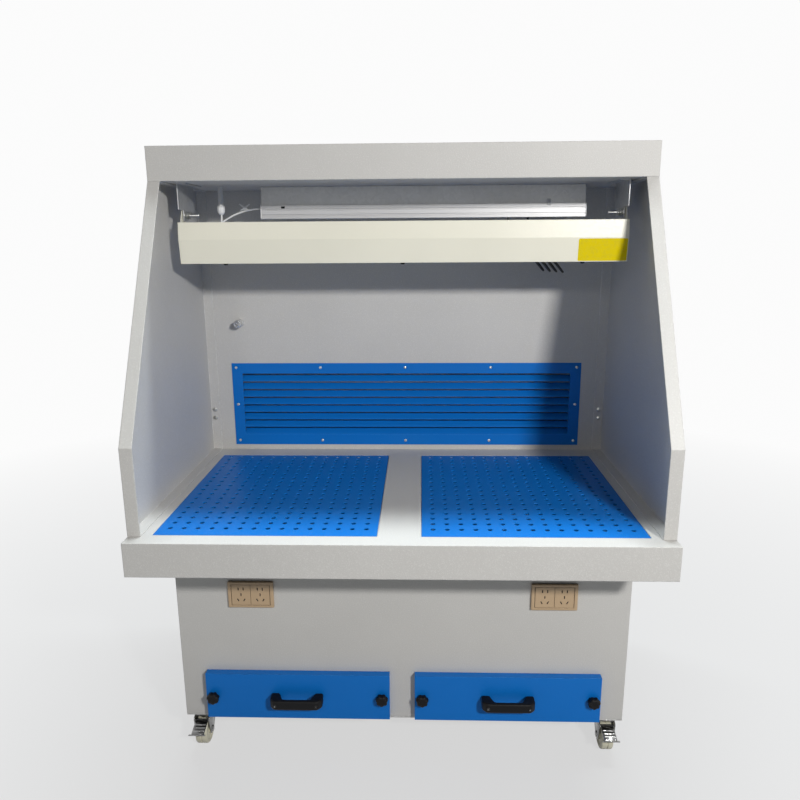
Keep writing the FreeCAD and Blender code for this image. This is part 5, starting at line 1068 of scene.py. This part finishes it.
for x in (-0.458, 0.002, 0.462):
    turned(buttons, BUTTON, at(x, -0.015, 1.2975) @ DOWNWARD, 24)
show(buttons, "shade_buttons", "shade", [black_plastic])

# Camera: stands before the table, a little right of its middle, at a worker's eye height. Its place, turn
# and focal length were fitted to the straight edges in the photo.
FOCAL_PIXELS = 696.05
FRAME_PIXELS = 800
SENSOR = 36.0
YAW = math.radians(1.81)
PITCH = math.radians(13.20)
ROLL = math.radians(0.40)
EYE = Vector((0.0506, -1.8442, 1.3626))
forward = Vector((-math.sin(YAW) * math.cos(PITCH), math.cos(YAW) * math.cos(PITCH), -math.sin(PITCH)))
level_right = Vector((math.cos(YAW), math.sin(YAW), 0.0))
level_down = forward.cross(level_right)
right = level_right * math.cos(ROLL) + level_down * math.sin(ROLL)
up = level_right * math.sin(ROLL) - level_down * math.cos(ROLL)
lens = bpy.data.cameras.new("camera")
lens.sensor_width = SENSOR
lens.lens = FOCAL_PIXELS / FRAME_PIXELS * SENSOR
camera = bpy.data.objects.new("camera", lens)
bpy.context.collection.objects.link(camera)
camera.matrix_world = Matrix((right, up, -forward)).transposed().to_4x4()
camera.location = EYE
bpy.context.scene.camera = camera

# Light and floor: a ceiling panel above and behind the hood, two soft panels before the table, the
# right one the stronger, and a pale floor that fades to white.
ROOM_LIGHT = 0.055
BACKGROUND = (0.97, 0.97, 0.97, 1.0)
FLOOR_GREY = (0.32, 0.32, 0.325, 1.0)
FLOOR_RADIUS = 9.0
PANEL_AIM = (0.0, 0.0, 0.9)
PANEL_TINT = (1.0, 0.985, 0.96)


def background_rays(tree):
    """One for the rays that see the background, straight, mirrored or through a piece, and else zero."""
    rays = add(tree, "ShaderNodeLightPath").outputs
    seen = rays["Is Camera Ray"]
    for kind in ("Is Glossy Ray", "Is Transmission Ray"):
        seen = add(tree, "ShaderNodeMath", {0: seen, 1: rays[kind]}, operation="MAXIMUM").outputs[0]
    return seen


bpy.context.scene.view_settings.view_transform = "Standard"
world = bpy.data.worlds.new("room")
world.use_nodes = True
bpy.context.scene.world = world
tree = world.node_tree
room = (ROOM_LIGHT, ROOM_LIGHT, ROOM_LIGHT * 1.03, 1.0)
fill(tree, tree.nodes["Background"], {"Color": mix(tree, background_rays(tree), room, BACKGROUND)})


def panel_light(name, place, aim, width, height, power, colour):
    lamp = bpy.data.lights.new(name, "AREA")
    lamp.shape = "RECTANGLE"
    lamp.size = width
    lamp.size_y = height
    lamp.energy = power
    lamp.color = colour
    held = bpy.data.objects.new(name, lamp)
    bpy.context.collection.objects.link(held)
    held.location = place
    held.rotation_mode = "QUATERNION"
    held.rotation_quaternion = (Vector(aim) - Vector(place)).to_track_quat("-Z", "Y")


panel_light("ceiling_panel", (0.46, 1.39, 8.0), (0.1, -0.2, 0.7), 5.0, 0.5, 720.0, (0.91, 0.98, 1.0))
panel_light("right_panel", (1.3, -2.59, 2.1), PANEL_AIM, 0.28, 0.18, 62.0, PANEL_TINT)
panel_light("left_panel", (-0.97, -2.59, 2.1), PANEL_AIM, 0.28, 0.18, 5.0, PANEL_TINT)

floor_mesh = bmesh.new()
bmesh.ops.create_circle(floor_mesh, cap_ends=True, segments=96, radius=FLOOR_RADIUS)
floor_data = bpy.data.meshes.new("floor")
floor_mesh.to_mesh(floor_data)
floor_mesh.free()
floor = bpy.data.objects.new("floor", floor_data)
bpy.context.collection.objects.link(floor)
floor_paint, tree, shader = new_material("floor_paint")
fill(tree, shader, {"Base Color": FLOOR_GREY, "Roughness": 0.8})
where = own_space(tree)
away = add(tree, "ShaderNodeVectorMath", {0: where}, operation="LENGTH").outputs["Value"]
far = remap(tree, away, 0.6, 3.6, 0.62, 1.0)
white = add(tree, "ShaderNodeEmission", {"Color": BACKGROUND}).outputs[0]
fade = multiply(tree, far, background_rays(tree))
faded = add(tree, "ShaderNodeMixShader", {0: fade, 1: shader.outputs[0], 2: white})
fill(tree, tree.nodes["Material Output"], {"Surface": faded.outputs[0]})
floor_data.materials.append(floor_paint)
